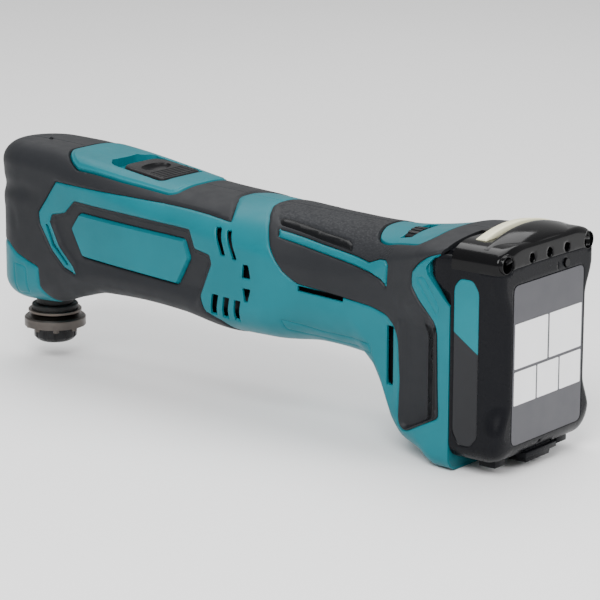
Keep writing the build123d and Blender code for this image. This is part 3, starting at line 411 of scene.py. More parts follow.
def casing_grid():
    """Points and outward normals over the casing's form, and the triangles between them."""
    xs = np.linspace(0, CASING_REAR, int(CASING_REAR / STEP) + 1)
    nose_y, nose_z = casing_section(*(column[0] for column in smooth_table(CASING, xs[:1])))
    turns = np.linspace(pi / 2, 0, NOSE_STEPS, endpoint=False)
    columns = [
        np.stack([-nose_y * sin(turn), nose_y * cos(turn), nose_z], axis=1) for turn in turns
    ]
    columns += [column_at(x, *casing_section(*sizes)) for x, *sizes in zip(xs, *smooth_table(CASING, xs))]
    grid = np.array(columns)
    normals = outward(grid)
    normals[: len(turns), 0] = (0, 0, -1)      # where the front end's columns meet
    normals[: len(turns), -1] = (0, 0, 1)
    return mirrored(grid, normals)


class Skin:
    """A triangle mesh on the casing's form that can be cut along the level lines of a field."""

    def __init__(self, points, normals, tris):
        first, back = np.unique(np.round(points, 4), axis=0, return_index=True, return_inverse=True)[1:]
        back = back.ravel()
        self.points = points[first]
        self.normals = normals[first]
        tris = back[tris]
        keep = (tris[:, 0] != tris[:, 1]) & (tris[:, 1] != tris[:, 2]) & (tris[:, 0] != tris[:, 2])
        self.tris = tris[keep]

    def cut(self, field, levels, snap=0.05):
        """Cuts the triangles along the field's level lines."""
        values = field(self.points)
        for level in levels:
            v = values - level
            v[np.abs(v) < snap] = 0.0
            v[np.abs(values) > NOWHERE / 2] = 1.0
            sign = np.sign(v)[self.tris]
            mixed = (sign.min(1) < 0) & (sign.max(1) > 0)
            usable = (np.abs(values[self.tris]) < NOWHERE / 2).all(1)
            hit, rest = self.tris[mixed & usable], self.tris[~(mixed & usable)]
            sign = sign[mixed & usable]
            touching = (sign == 0).any(1)
            one, two = hit[touching], hit[~touching]
            sign_one, sign_two = sign[touching], sign[~touching]
            # one corner on the line: it goes first, and the line leaves through the far side
            turn = np.argmax(sign_one == 0, axis=1)
            one = np.take_along_axis(one, (turn[:, None] + np.arange(3)) % 3, axis=1)
            # otherwise the corner that is alone on its side goes first
            lonely = np.argmax(sign_two * sign_two.sum(1, keepdims=True) < 0, axis=1)
            two = np.take_along_axis(two, (lonely[:, None] + np.arange(3)) % 3, axis=1)
            edges = np.concatenate([one[:, [1, 2]], two[:, [0, 1]], two[:, [0, 2]]])
            if not len(edges):
                continue
            edges, back = np.unique(np.sort(edges, axis=1), axis=0, return_inverse=True)
            back = back.ravel() + len(self.points)
            i, j = edges.T
            t = (v[i] / (v[i] - v[j]))[:, None]
            self.points = np.concatenate([self.points, self.points[i] * (1 - t) + self.points[j] * t])
            fresh = self.normals[i] * (1 - t) + self.normals[j] * t
            self.normals = np.concatenate([self.normals, unit(fresh)])
            values = np.concatenate([values, np.full(len(edges), float(level))])
            m = back[: len(one)]
            p, q = back[len(one): len(one) + len(two)], back[len(one) + len(two):]
            self.tris = np.concatenate([
                rest,
                np.stack([one[:, 0], one[:, 1], m], 1), np.stack([one[:, 0], m, one[:, 2]], 1),
                np.stack([two[:, 0], p, q], 1), np.stack([p, two[:, 1], two[:, 2]], 1),
                np.stack([p, two[:, 2], q], 1),
            ])

    def centres(self):
        return self.points[self.tris].mean(axis=1)


def closed_shell(points, normals, heights, depths, tris):
    """A closed shell: the skin raised by its heights, a copy sunk below, and walls at its rim."""
    used, back = np.unique(tris, return_inverse=True)
    tris = back.reshape(-1, 3)
    base, normal = points[used], normals[used]
    outer = base + normal * heights[used][:, None]
    inner = base - normal * depths[used][:, None]
    count = len(used)
    edges = np.concatenate([tris[:, [0, 1]], tris[:, [1, 2]], tris[:, [2, 0]]])
    key = np.sort(edges, axis=1)
    index, uses = np.unique(key, axis=0, return_index=True, return_counts=True)[1:]
    rim = edges[index[uses == 1]]
    a, b = rim.T
    walls = np.concatenate([np.stack([b, a, a + count], 1), np.stack([b, a + count, b + count], 1)])
    faces = np.concatenate([tris, tris[:, ::-1] + count, walls])
    return np.concatenate([outer, inner]), faces


# ---- outlines on the casing, in X and Z
SKY = 95.0              # above everything, so that an outline goes over the top
NOSE_EDGE = [
    (-40, 39.5), (-9, 39.2), (-3, 35.4), (3.3, 33.1), (10.3, 31.1), (11.3, 22.5), (14.5, 19.3), (27, 8),
]
HOLLOW_EDGE = [
    (108.7, 34.9), (114.8, 49.3), (113.7, 52.9), (105.6, 54.3), (102.6, 62), (34.5, 63.9),
    (28.3, 57.9), (19.4, 55.7), (18, 52.1), (23.7, 42.4), (32.4, 35.4),
]
BOOT = rounded([
    (-40, SKY), *NOSE_EDGE, (126, 8), (118.2, 25), (110.8, 28.5), *HOLLOW_EDGE,
    (34.9, 31.8), (27.3, 33.9), (19.3, 40), (11.9, 50.6), (11.2, 55.6),
    (22.8, 70.6), (65.7, 70.5), (82.6, 70.0), (98.4, 69.2), (109, 68.4), (121.4, 67.0), (119.5, 69.5),
    (117.3, 71.3), (113.9, 72.9), (111.3, 73.5), (110.4, 74.4), (110.2, SKY),
], 0.9)
HOLLOW = rounded([*HOLLOW_EDGE, (40, 20), (104, 18)], 0.9)
BADGE = rounded([(31.5, 51.7), (36.8, 58.9), (99, 57), (102.1, 49.5), (95.2, 37.3), (38.6, 40)], 1.2)
RECESS_LINE = [
    (210.0, 18.0), (209.2, 1.0), (211.0, -2.6), (214.0, -2.8), (231.4, 6.2), (231.0, 14.0), (230.2, 40.4),
]
REAR_GRIP = rounded([
    (129.0, SKY), (129.1, 73.0), (132.4, 71.8), (137.2, 68.9), (141.0, 64.9), (143.6, 60.9),
    (146.7, 56.1), (150.6, 51.2), (156.2, 47.6), (159.1, 46.9), (180.3, 44.7), (193.9, 43.5),
    (201.6, 41.6), (206.2, 38.0), (208.8, 32.5), *RECESS_LINE, (228.7, 44.1), (220.7, 51.4),
    (216.5, 56.4), (216.5, 61.4), (220.4, 65.5), (226.2, 69.6), (231.0, 71.4), (240, 71.8), (240, SKY),
], 1.5)
STRIPE = rounded([
    (144.1, 66.8), (146.1, 64.2), (159.8, 62.0), (173.5, 60.0), (185.7, 58.2), (193.0, 57.1),
    (199.1, 55.0), (201.8, 52.6), (202.4, 61.5), (201.0, 63.1), (197.2, 62.9), (191.7, 60.7),
    (184.2, 61.7), (166.8, 63.8), (149.3, 66.2),
], 0.5)
RIB = rounded([
    (140.9, 69.8), (144.9, 69.9), (163.1, 67.7), (177.2, 66.2), (180.2, 64.9), (181.3, 62.9),
    (166.5, 64.8), (149.5, 67.2), (143.7, 67.9),
], 0.5)
PEBBLED = [(128, SKY), (128, 73.4), (137.8, 71.4), (142.0, 68.6), (166.6, 64.3), (184.2, 62.2),
           (191.7, 61.2), (197.0, 63.4), (203.0, 63.4), (206, SKY)]
NOSE_COVER = [*NOSE_EDGE, (-40, 8)]
EMBLEM = rounded([(-4.6, 31.0), (2.8, 30.4), (4.0, 18.4), (-3.4, 17.4)], 1.2)
CHEEK_CUT = [(231.8, 120), (231.8, 72.6), (225.4, 66.0), (224.5, 64.2), (225.7, 61.9), (234.2, 53.2),
             (237.5, 50.5), (260, 50.5), (260, 120)]
CHEEK_EMBLEM = rounded([(219.6, 60.2), (223.4, 60.9), (231.2, 50.6), (230.6, 46.2)], 1.2)
RECESS_EDGE = [(210.2, 40.0), *RECESS_LINE]
VENTS = [
    [(115.9, 64.8), (118.8, 64.8), (122.5, 53.8), (120, 53.5)],
    [(121.6, 64.2), (124, 64.2), (128.5, 52.8), (126.3, 52.8)],
    [(131.6, 51.6), (134.3, 51.6), (135.4, 45.9), (130.9, 45.9)],
    [(131.2, 41.7), (135.5, 41.7), (133.9, 36.1), (132.2, 36.1)],
    [(115.3, 37), (118.7, 37), (117.2, 27.6), (114.1, 28.2)],
    [(121.3, 36.6), (124.5, 36.6), (123, 27), (120.2, 27.4)],
    [(127.1, 36.2), (130.3, 36), (128.6, 26.6), (126, 26.9)],
    [(157.8, 46.5), (180, 45.0), (180.2, 42.9), (158.2, 44.2)],
]
BAND_SLOT = [(15.6, 51.0), (17.0, 51.2), (21.4, 43.0), (30.6, 35.6), (29.4, 35.2), (19.6, 42.4)]
MOUNT_SLOT = rectangle(202.5, 206.1, 37.6, 13.8)
LABEL_EDGE = [
    (149.2, 30.9), (167.8, 28.2), (193.4, 28.2), (194.2, 24.5), (173.6, 24.3), (157.0, 24.9), (149.4, 26.3),
]

# Outlines on the top, in X and Y.
COVER = rounded(both_sides([
    (20.8, -7), (21.6, -10.6), (25.1, -15.4), (29.3, -18.9), (34.5, -21.2), (60, -20.4), (84.0, -18.6),
    (86.6, -16.6), (87.4, -11.5),
]), 1.5)
POCKET = rounded(both_sides([(42.8, -8.5), (47.5, -13.3), (75.8, -13.3)]), 3.5)
BEZEL = rounded(both_sides([
    (186.4, -6.0), (188.2, -12.0), (190.6, -16.0), (195.5, -18.4), (206.0, -21.0), (216.0, -24.6),
    (219.4, -22.4), (220.4, -17.6), (220.0, 0),
]), 2.0)
DIAL_X = 203.0
DIAL_Y = -5.5
DIAL_WINDOW = rectangle(DIAL_X - 2.8, DIAL_X + 2.8, DIAL_Y - 9.8, DIAL_Y + 9.8)
# Shell screws: X, Z and how far out along Y the tube round each head comes.
SHELL_SCREWS = [
    (8, 75.2, 20.4), (119, 24.2, 27.0), (150, 25.2, 24.0), (190, 25.0, 22.0), (212, -4, 25.0),
    (216, 66.5, 27.0),
]
SCREW_WELL = 3.15
NECK_HOLE = 8.3
LAMP_X = 29.0
LAMP_HOLE = 3.6
HOLLOW_STEPS = (0.0, 0.35, 1.9, 2.8)      # distances in from the hollow's edge
RECESS_AWAY = 20.0         # the finger recess is on the casing's sides, at least this far from its middle
RECESS_LEVELS = (0.7, 1.9)
RECESS_FLOOR_END = 222.0   # X where the recess's floor turns into its rear wall
RECESS_WALL_END = 229.0
RECESS_REAR = 230.2
RECESS_WALL_TOP = 42.0


def any_of(fields):
    def field(p):
        return np.minimum.reduce([f(p) for f in fields])
    return field


def in_underside(p):
    return p[:, 2] < 30


boot = side_field(BOOT)
hollow = side_field(HOLLOW, away=12.0)
badge = side_field(BADGE, away=12.0)
rear_grip = side_field(REAR_GRIP)
stripe = side_field(STRIPE, away=8.0)
rib = side_field(RIB, away=6.0)
pebbled = side_field(PEBBLED)
emblem = side_field(EMBLEM, away=12.0)
cheek_cut = side_field(CHEEK_CUT)
cheek_emblem = side_field(CHEEK_EMBLEM, away=12.0)
vents = any_of([side_field(rounded(v, 0.5), away=8.0) for v in VENTS + [MOUNT_SLOT]])
band_slot = side_field(rounded(BAND_SLOT, 0.5), away=8.0)
label_edge = side_field(rounded(LABEL_EDGE, 0.8), away=10.0)
cover = top_field(COVER)
pocket = top_field(POCKET)
bezel = top_field(BEZEL)
dial_window = top_field(rounded(DIAL_WINDOW, 0.6))
neck = holes_field([(0, 0, NECK_HOLE)], (0, 1), in_underside)
lamp = holes_field([(LAMP_X, 0, LAMP_HOLE)], (0, 1), in_underside)
well_field = holes_field([(x, z, SCREW_WELL) for x, z, _ in SHELL_SCREWS], (0, 2), lambda p: p[:, 1] > 6)
recess_edge = line_field(RECESS_EDGE, away=RECESS_AWAY)
HOLES = (vents, band_slot, dial_window, neck, lamp, well_field)
EDGE_LEVELS = (-0.7, -0.25, 0.0, 0.25, 0.7)
HOLE_LEVELS = (0.0, 0.35)


def profile(distance, places, heights):
    """Height over distance along straight runs."""
    return np.interp(distance, places, heights)


def groove(distance, depth=0.65):
    return profile(np.abs(distance), (0.0, 0.25, 0.7), (-depth, -0.5 * depth, 0.0))


def bump_at(value, centre, reach):
    """1 at the centre, falling smoothly to 0 at the reach."""
    t = np.clip(1 - np.abs(value - centre) / reach, 0, 1)
    return t * t * (3 - 2 * t)


def casing_heights(p):
    """How far the skin stands above the casing's form at each point."""
    x, y, z = p.T
    in_cover, in_bezel, in_boot, in_grip = cover(p), bezel(p), boot(p), rear_grip(p)
    in_badge, in_stripe, in_hollow = badge(p), stripe(p), hollow(p)
    h = np.zeros(len(p))
    # soft grips stand a little proud, with a rounded edge
    boot_only = np.maximum(np.maximum(in_boot, -in_cover), -in_badge)
    grip_only = np.maximum(np.maximum(in_grip, -in_bezel), -in_stripe)
    for soft in (boot_only, grip_only):
        h += profile(-soft, (0.0, 0.25, 0.7, 1.2), (0.0, 0.15, 0.3, 0.35))
    for edge in (boot_only, grip_only, in_cover, in_bezel):
        h += groove(edge, 0.6)
    # hollow round the badge, with a sloping wall under the band
    fade = np.clip((z - 30.0) / 8.0, 0, 1)
    h += profile(-in_hollow, HOLLOW_STEPS, (0.0, -0.5, -1.9, -2.1)) * fade
    h += profile(-in_badge, (-0.7, 0.0, 0.9), (0.0, 0.2, 1.5)) * (in_badge < 0.7)
    # hood and nose
    front = np.clip((14.0 - x) / 10.0, 0, 1)
    hood = 0.45 * bump_at(z, 77.0, 8.0) - 0.75 * bump_at(z, 64.5, 5.0) + 0.25 * bump_at(z, 58.0, 5.0)
    h += front * hood
    angle = np.arctan2(-x, np.abs(y))
    flutes = np.clip(np.sin(angle * 9.0), 0, 1) ** 2 * bump_at(z, 50.0, 8.5)
    h -= 0.5 * flutes * (x < 1)
    nose = np.where(z < 40.0, outline_distance(p[:, [0, 2]], NOSE_COVER), NOWHERE)
    h += profile(-nose, (0.0, 0.7, 1.4), (0.0, 0.25, 0.4))
    h += groove(emblem(p), 0.3)
    h += groove(cheek_emblem(p), 0.3)
    # raised smooth rib above the stripe, and the stripe itself
    in_rib = rib(p)
    h += groove(in_rib, 0.35) + profile(-in_rib, (0.0, 0.7), (0.0, 0.35))
    h += profile(-in_stripe, (0.0, 0.7), (0.0, 0.3))
    # switch cover: a raised panel with a step round it, and the knob's pocket
    h += profile(-in_cover, (0.0, 0.7, 1.5, 2.0), (0.0, 0.45, 0.55, 0.9))
    in_pocket = pocket(p)
    h = np.where(in_pocket < 0, -3.2, h - profile(in_pocket, (0.0, 0.5), (0.25, 0.0)))
    # finger recess in the mount: its floor lies at a half width, and its walls slope
    half = smooth_table(CASING, np.clip(x, 0, CASING_REAR))[0]
    floor = np.interp(x, (190, 208, RECESS_FLOOR_END, RECESS_WALL_END, 240), (27.0, 27.0, 26.2, 32.0, 32.5))
    ramp = np.clip((x - 207.0) / 6.0, 0, 1)
    depth = np.maximum(half - floor, 0) * ramp * np.clip((48.0 - z) / 11.0, 0, 1)
    wall = profile(recess_edge(p), (0.0, *RECESS_LEVELS), (0.0, 0.12, 1.0))
    inside = (in_grip < 0) & (np.abs(y) > RECESS_AWAY)
    h -= np.where(inside, depth * wall, 0.0)
    # label outline, holes and the seam between the halves
    h += groove(label_edge(p), 0.4)
    for hole in HOLES:
        h -= profile(hole(p), HOLE_LEVELS, (0.2, 0.0))
    seam = (in_cover > 0) & (in_bezel > 0)
    h -= profile(np.abs(y), (0.0, 0.3), (0.25, 0.0)) * seam
    return h


skin = Skin(*casing_grid())
for field in (boot, badge, rear_grip, stripe, cover, bezel, rib):
    skin.cut(field, EDGE_LEVELS)
skin.cut(hollow, [-step for step in reversed(HOLLOW_STEPS)])
skin.cut(cover, (-2.0, -1.5))
skin.cut(badge, (-0.9,))
skin.cut(pocket, (-0.12, 0.0, 0.5))
for field in (emblem, cheek_emblem):
    skin.cut(field, EDGE_LEVELS)
skin.cut(recess_edge, RECESS_LEVELS)
skin.cut(pebbled, (0.0,))
for field in HOLES:
    skin.cut(field, HOLE_LEVELS)
skin.cut(label_edge, EDGE_LEVELS)
skin.cut(cheek_cut, (0.0,))
skin.cut(lambda p: np.abs(p[:, 1]), (0.3,))
skin.cut(lambda p: p[:, 0], (RECESS_FLOOR_END, RECESS_WALL_END))
skin.cut(lambda p: p[:, 2], (RECESS_WALL_TOP,))

middle = skin.centres()
gone = any_of([*HOLES, cheek_cut])(middle) < 0
in_cover = cover(middle) < 0
in_bezel = bezel(middle) < 0
in_badge = badge(middle) < 0
in_boot = (boot(middle) < 0) & ~in_cover & ~in_badge
in_grip = (rear_grip(middle) < 0) & ~in_bezel & (stripe(middle) > 0)
in_pocket = pocket(middle) < 0
in_rib = in_grip & (rib(middle) < 0)
in_pebbles = in_grip & ~in_rib & (pebbled(middle) < 0)
right = middle[:, 1] < 0
rest = ~(in_cover | in_bezel | in_badge | in_boot | in_grip)
# the finger recess's rear wall, which gets the darker rubber as painted shade
in_recess_wall_painted_shade = (
    in_grip & (middle[:, 0] > RECESS_FLOOR_END) & (middle[:, 0] < RECESS_REAR)
    & (recess_edge(middle) > RECESS_LEVELS[0]) & (np.abs(middle[:, 1]) > RECESS_AWAY)
    & (middle[:, 2] < RECESS_WALL_TOP)
)
heights = casing_heights(skin.points)
SKIN_DEPTH = 1.1
depths = SKIN_DEPTH + np.maximum(-heights, 0.0)


def skin_piece(name, mask, mat, stands_for=()):
    shell = closed_shell(skin.points, skin.normals, heights, depths, skin.tris[mask & ~gone])
    dress(mesh_object(name, *shell), mat, "tool", stands_for, 42.0)


for side_name, on_side in (("right", right), ("left", ~right)):
    skin_piece("casing_" + side_name, rest & on_side, teal, ["housing_" + side_name])
    skin_piece("front_grip_" + side_name, in_boot & on_side, rubber,
               ["grip_front_" + side_name])
    skin_piece("rear_grip_" + side_name, on_side & in_grip & ~(in_rib | in_pebbles | in_recess_wall_painted_shade),
               rubber, ["grip_rear_" + side_name])
    # same grip rubber, made darker on the recess's rear wall: painted shade
    skin_piece("finger_recess_wall_painted_shade_" + side_name, in_recess_wall_painted_shade & on_side, rubber_smooth_and_painted_shade)
    skin_piece("rear_grip_pebbled_" + side_name, in_pebbles & on_side, rubber_stippled)
    skin_piece("rear_grip_rib_" + side_name, in_rib & on_side, rubber_smooth_and_painted_shade)
    skin_piece("badge_panel_" + side_name, in_badge & on_side, teal, ["badge_plates"])
skin_piece("switch_surround", in_cover, teal, ["switch_cover"])
skin_piece("dial_surround", in_bezel, teal, ["dial_bezel"])


def vent_liners():
    """A dark backing 4 mm behind the vents and slots, one shell per side."""
    back = np.full(len(skin.points), -4.0)
    deep = np.full(len(skin.points), 4.9)
    near_holes = np.minimum(vents(middle), band_slot(middle)) < 1.6
    for side_name, on_side in (("right", right), ("left", ~right)):
        shell = closed_shell(skin.points, skin.normals, back, deep, skin.tris[near_holes & on_side])
        liner = mesh_object("vent_liner_" + side_name, *shell)
        dress(liner, satin_black, "tool", (), 38.0)


vent_liners()


# ---- solids made and cut in mesh code
def grid_solid(rings):
    """Points and faces of a closed solid lofted through rings of equal length, with flat ends."""
    rings = np.array(rings, float)
    count, size = rings.shape[:2]
    faces = [
        (r * size + k, r * size + (k + 1) % size, (r + 1) * size + (k + 1) % size, (r + 1) * size + k)
        for r in range(count - 1) for k in range(size)
    ]
    faces.append(tuple(reversed(range(size))))
    faces.append(tuple((count - 1) * size + k for k in range(size)))
    return rings.reshape(-1, 3), faces


def solid(rings):
    """A helper object from rings, its faces turned outwards, ready to be cut and finished."""
    thing = mesh_object("cutter", *grid_solid(rings))
    bm = bmesh.new()
    bm.from_mesh(thing.data)
    bmesh.ops.recalc_face_normals(bm, faces=bm.faces)
    bm.to_mesh(thing.data)
    bm.free()
    return thing


def box(x0, x1, y0, y1, z0, z1):
    return slab(rectangle(y0, y1, z0, z1), x0, x1)


def slab(outline, x0, x1):
    """A plate across X from an outline in Y and Z."""
    return solid([[(x, y, z) for y, z in outline] for x in (x0, x1)])


def turned(axis, centre, stations, sides=40):
    """A turned solid about X, Y or Z: stations are places along the axis and radii."""
    rings = []
    for place, radius in stations:
        ring = []
        for k in range(sides):
            u, v = radius * cos(2 * pi * k / sides), radius * sin(2 * pi * k / sides)
            ring.append({
                "X": (place, centre[0] + u, centre[1] + v),
                "Y": (centre[0] + u, place, centre[1] + v),
                "Z": (centre[0] + u, centre[1] + v, place),
            }[axis])
        rings.append(ring)
    return solid(rings)


def apply_modifiers(thing):
    depsgraph = bpy.context.evaluated_depsgraph_get()
    mesh = bpy.data.meshes.new_from_object(thing.evaluated_get(depsgraph))
    thing.modifiers.clear()
    thing.data = mesh


def combine(base, other, operation):
    """Joins, cuts or intersects base with other, and removes other."""
    modifier = base.modifiers.new("combine", "BOOLEAN")
    modifier.operation = operation
    modifier.solver = "EXACT"
    modifier.object = other
    apply_modifiers(base)
    bpy.data.objects.remove(other)


def join(base, *others):
    for other in others:
        combine(base, other, "UNION")
    return base


def cut_out(base, *others):
    for other in others:
        combine(base, other, "DIFFERENCE")
    return base


BEVEL_SEGMENTS = 2
BEVEL_ANGLE = 32.0      # degrees: only sharper edges are bevelled


def finish_piece(thing, name, mat, body, stands_for=(), bevel=0.0, sharp=35.0):
    """Turns a helper object into a named piece, with bevelled edges where asked."""
    thing.name = name
    thing.data.name = name
    if bevel:
        modifier = thing.modifiers.new("bevel", "BEVEL")
        modifier.width = bevel * MM
        modifier.segments = BEVEL_SEGMENTS
        modifier.limit_method = "ANGLE"
        modifier.angle_limit = radians(BEVEL_ANGLE)
        modifier.harden_normals = False
        apply_modifiers(thing)
    dress(thing, mat, body, stands_for, sharp)


# ---- the battery's seat in the mount
SEAT_X = 226.0
WALL_X = 222.5          # front of the seat's end wall
CHEEK_INNER = 29.2
SEAT_FLOOR = -6.8
RAIL_X = (229.8, 232.7)
RAIL_Z = (-5.5, 49.0)
RAIL_REACH = 2.2
PAST = 120              # a place well outside the casing, for solids that cut through it
# The finger recess comes in behind the skin: X, and how far out from the middle it starts.
RECESS_WEDGE = ((221.0, 26.0), (222.0, 26.0), (229.0, 31.7), (230.4, 33.4))
RECESS_CLEARANCE = 1.25


def section_ring(x, inset):
    """The casing's whole section at x as a ring of points, shrunk by inset."""
    half, low, high, *corners = (column[0] for column in smooth_table(CASING, np.array([x])))
    corners = [max(c - inset, 1.0) for c in corners]
    y, z = casing_section(half - inset, low + inset, high - inset, *corners)
    left = [(x, a, b) for a, b in zip(y, z)]
    return left + [(x, -a, b) for x, a, b in left[-2:0:-1]]


def battery_seat():
    """The end wall, cheeks and rails that the battery slides into."""
    seat = solid([section_ring(x, 1.0) for x in (WALL_X, SEAT_X, 230.0, CASING_REAR - 0.05)])
    front = SEAT_X - 0.02
    cheek_line = [(front, PAST), (front, 62.6), (237.5, 48.2), (250, 48.2), (250, PAST)]
    cut_out(
        seat,
        box(SEAT_X, 250, -CHEEK_INNER, CHEEK_INNER, SEAT_FLOOR, PAST),
        solid([[(x, y, z) for x, z in cheek_line] for y in (-60, 60)]),
        box(220, 230, -12.3, 12.3, 3.7, 24.3),
        box(220, 240, -40, 40, 72.0, 90),
    )
    for _, side in SIDES:
        wedge = [[(x, side * (y - RECESS_CLEARANCE), z) for z, y in
                  ((-4.0, start), (48.0, start), (48.0, 60), (-4.0, 60))] for x, start in RECESS_WEDGE]
        cut_out(seat, solid(wedge))
        y0, y1 = sorted((side * (CHEEK_INNER - RAIL_REACH), side * (CHEEK_INNER + 0.5)))
        join(seat, box(*RAIL_X, y0, y1, *RAIL_Z))
    # the seat's darker teal is painted shade on the housing plastic
    finish_piece(seat, "battery_seat", teal_painted_shade, "tool",
                 ["housing_right", "housing_left"], bevel=0.25)


battery_seat()


def screw_wells():
    """Tubes behind the left half's screw holes, down to the screw heads."""
    tubes = [
        cut_out(turned("Y", (x, z), [(9.5, 4.3), (outside, 4.3)]),
                turned("Y", (x, z), [(9.6, SCREW_WELL), (outside + 1, SCREW_WELL)]))
        for x, z, outside in SHELL_SCREWS
    ]
    # the wells' darker teal is painted shade on the housing plastic
    finish_piece(join(*tubes), "screw_wells", teal_painted_shade, "tool", ["housing_left"])


screw_wells()

# ---- switch knob
SLOPE = 0.1147          # fall of the body's top per millimetre along X
SLOPE_X = 53.0
SLOPE_Z = 78.55
KNOB = (50.5, 75.0, 12.7)    # front, rear and half width
# Thumb hollow: place along X, height, and reach along X, Y and Z.
THUMB = (60.6, 1.4, 4.3, 8.4, 3.2)
GROOVES = (66.4, 1.75, 5, 10.4)        # thumb grooves' start, spacing, number and half length


def on_slope(points):
    """Points given as X, Y and height above the body's sloping top."""
    return [(x, y, SLOPE_Z - SLOPE * (x - SLOPE_X) + h) for x, y, h in points]


def knob_outline(grow):
    front, rear, half = KNOB
    return rounded([
        (front - grow, -half + 4 - grow / 2), (front + 4, -half - grow), (rear + grow, -half - grow),
        (rear + grow, half + grow), (front + 4, half + grow), (front - grow, half - 4 + grow / 2),
    ], 2.5)


def switch_knob():
    """The ribbed sliding knob, with a hollow for the thumb."""
    knob = solid([on_slope([(x, y, h) for x, y in knob_outline(grow)])
                  for grow, h in ((0.0, -3.0), (0.0, -0.1), (-0.5, 0.6), (-1.2, 0.95))])
    place, height, along, across, deep = THUMB
    ball = []
    for step in range(1, 10):
        turn = pi * step / 10
        ball.append(on_slope([
            (place + along * sin(turn) * cos(2 * pi * k / 32), across * sin(turn) * sin(2 * pi * k / 32),
             height - deep * cos(turn)) for k in range(32)
        ]))
    cut_out(knob, solid(ball))
    start, spacing, count, reach = GROOVES
    for row in range(count):
        x = start + spacing * row
        cut_out(knob, solid([
            on_slope([(x - 0.5, y, 2.0), (x + 0.5, y, 2.0), (x + 0.12, y, 0.05), (x - 0.12, y, 0.05)])
            for y in (-reach, reach)
        ]))
    finish_piece(knob, "switch_knob_cap", satin_black, "switch", ["switch_knob"], sharp=30)


switch_knob()

# ---- clamp bolt head
def clamp_bolt():
    """Black bolt head with notches round its rim and a hexagon socket, over the plain shank."""
    top = -0.3
    head = turned("Z", (0, 0), [
        (top, 8.9), (top - 0.5, 9.5), (top - 4.6, 9.5), (top - 6.0, 8.3), (top - 6.6, 7.2),
    ], 72)
    for k in range(12):
        turn = 2 * pi * (k + 0.5) / 12
        place = (10.1 * cos(turn), 10.1 * sin(turn))
        cut_out(head, turned("Z", place, [(top - 7, 1.1), (top - 1.6, 1.1)], 16))
    cut_out(head, turned("Z", (0, 0), [(top - 8, 2.9), (top - 2.2, 2.9)], 6))
    join(head, turned("Z", (0, 0), [(top - 0.2, 3.98), (21.0, 3.98)]))
    finish_piece(head, "clamp_bolt_head", black_oxide, "clamp_bolt", ["clamp_bolt"],
                 bevel=0.15)


clamp_bolt()

# ---- battery case
FRONT, REAR = 237.0, 260.0      # the battery's rear part along X
HALF, LOW, HIGH = 32.5, -8.9, 76.5
EDGE_SIDE = 4.0         # rounding of the rear vertical edges
EDGE_TOP = 2.2
EDGE_LOW = 8.5
CROWN_REACH = 13.0      # the upper corners seen from the rear: reach along Y, and height
CROWN_DROP = 6.5
CORNER_LOW = 7.5
SCOOP = 4.2             # depth of the finger scoops along the rear edges
SCOOP_FRONT = 249.8
SCOOP_RUN = 8.5         # how far behind its front a scoop has its full depth
SCOOP_Z = (2.0, 62.5)
SCOOP_ENDS = 14.0       # how far a scoop takes to fade out at its ends
BATTERY_STEPS = (10, 24, 64, 14, 16)    # grid steps over top, corner, side, corner and underside


def edge_inset(x, radius):
    """How far the form is drawn in near the rear face by an edge rounding."""
    into = np.clip(x - (REAR - radius), 0, radius)
    return radius - np.sqrt(np.maximum(radius**2 - into**2, 0))


def ease(t):
    """0 below 0 and 1 above 1, with a smooth step between."""
    t = np.clip(t, 0, 1)
    return t * t * (3 - 2 * t)


def battery_section(x, shrink=1.0):
    """One side of the battery's section: Y and Z from the top's middle to the underside's middle."""
    half = HALF - edge_inset(x, EDGE_SIDE)
    high = HIGH - edge_inset(x, EDGE_TOP)
    low = LOW + edge_inset(x, EDGE_LOW)
    upper, lower = (CROWN_REACH, CROWN_DROP), (CORNER_LOW, CORNER_LOW)
    y, z = section_rows((half, low, high), upper, lower, BATTERY_STEPS)
    ramp = ease((x - SCOOP_FRONT) / SCOOP_RUN)
    if ramp > 0:
        ends = np.clip((z - SCOOP_Z[0]) / SCOOP_ENDS, 0, 1) * np.clip((SCOOP_Z[1] - z) / SCOOP_ENDS, 0, 1)
        y = np.minimum(y, half - SCOOP * ramp * ease(ends))
    middle = (LOW + HIGH) / 2
    return y * shrink, middle + (z - middle) * shrink


def battery_grid():
    """Points, normals and triangles over the battery's sides, and in rings over its rear face."""
    stations = list(np.linspace(FRONT, REAR - EDGE_SIDE, 26, endpoint=False))
    stations += [REAR - EDGE_SIDE + EDGE_SIDE * sin(t) for t in np.linspace(0, pi / 2, 20)]
    columns = [column_at(x, *battery_section(x)) for x in stations]
    columns += [column_at(REAR, *battery_section(REAR, shrink)) for shrink in np.linspace(1, 0, 30)[1:]]
    grid = np.array(columns)
    normals = outward(grid)
    normals[len(stations):] = (1, 0, 0)
    return mirrored(grid, normals)


def rear_field(outline, nearest):
    """Signed distance in Y and Z to an outline on the battery's rear face."""
    def field(p):
        return np.where(p[:, 0] > nearest, outline_distance(p[:, [1, 2]], outline), NOWHERE)
    return field


GLOSS_BAND = rounded([
    (-45, 90), (-45, 66), (-31, 66.4), (-27, 67.0), (-22.8, 68.0), (-21.0, 67.9), (-8, 68.1), (8, 68.1),
    (21.0, 67.9), (22.8, 68.0), (27, 67.0), (31, 66.4), (45, 66), (45, 90),
], 1.0)
LABEL = rounded(rectangle(-24.3, 24.3, -1.9, 61.5), 3.0)
SIDE_BADGE = rounded([
    (238.3, 2.8), (241.4, -2.4), (246.4, -2.4), (249.6, 1.6), (249.6, 58.8), (246.8, 63.0), (241.0, 63.0),
    (238.3, 59.4),
], 1.6)
BADGE_SPLIT = [(230, 42.2), (238.3, 42.2), (249.6, 34.6), (260, 34.6), (260, 90), (230, 90)]
WELL_Y = 28.0           # screw wells in the upper corners
WELL_Z = 70.0
WELL_RADIUS = 3.2
LAMPS_Y = (-12.0, 0.0, 12.0)
LAMPS_Z = 70.3
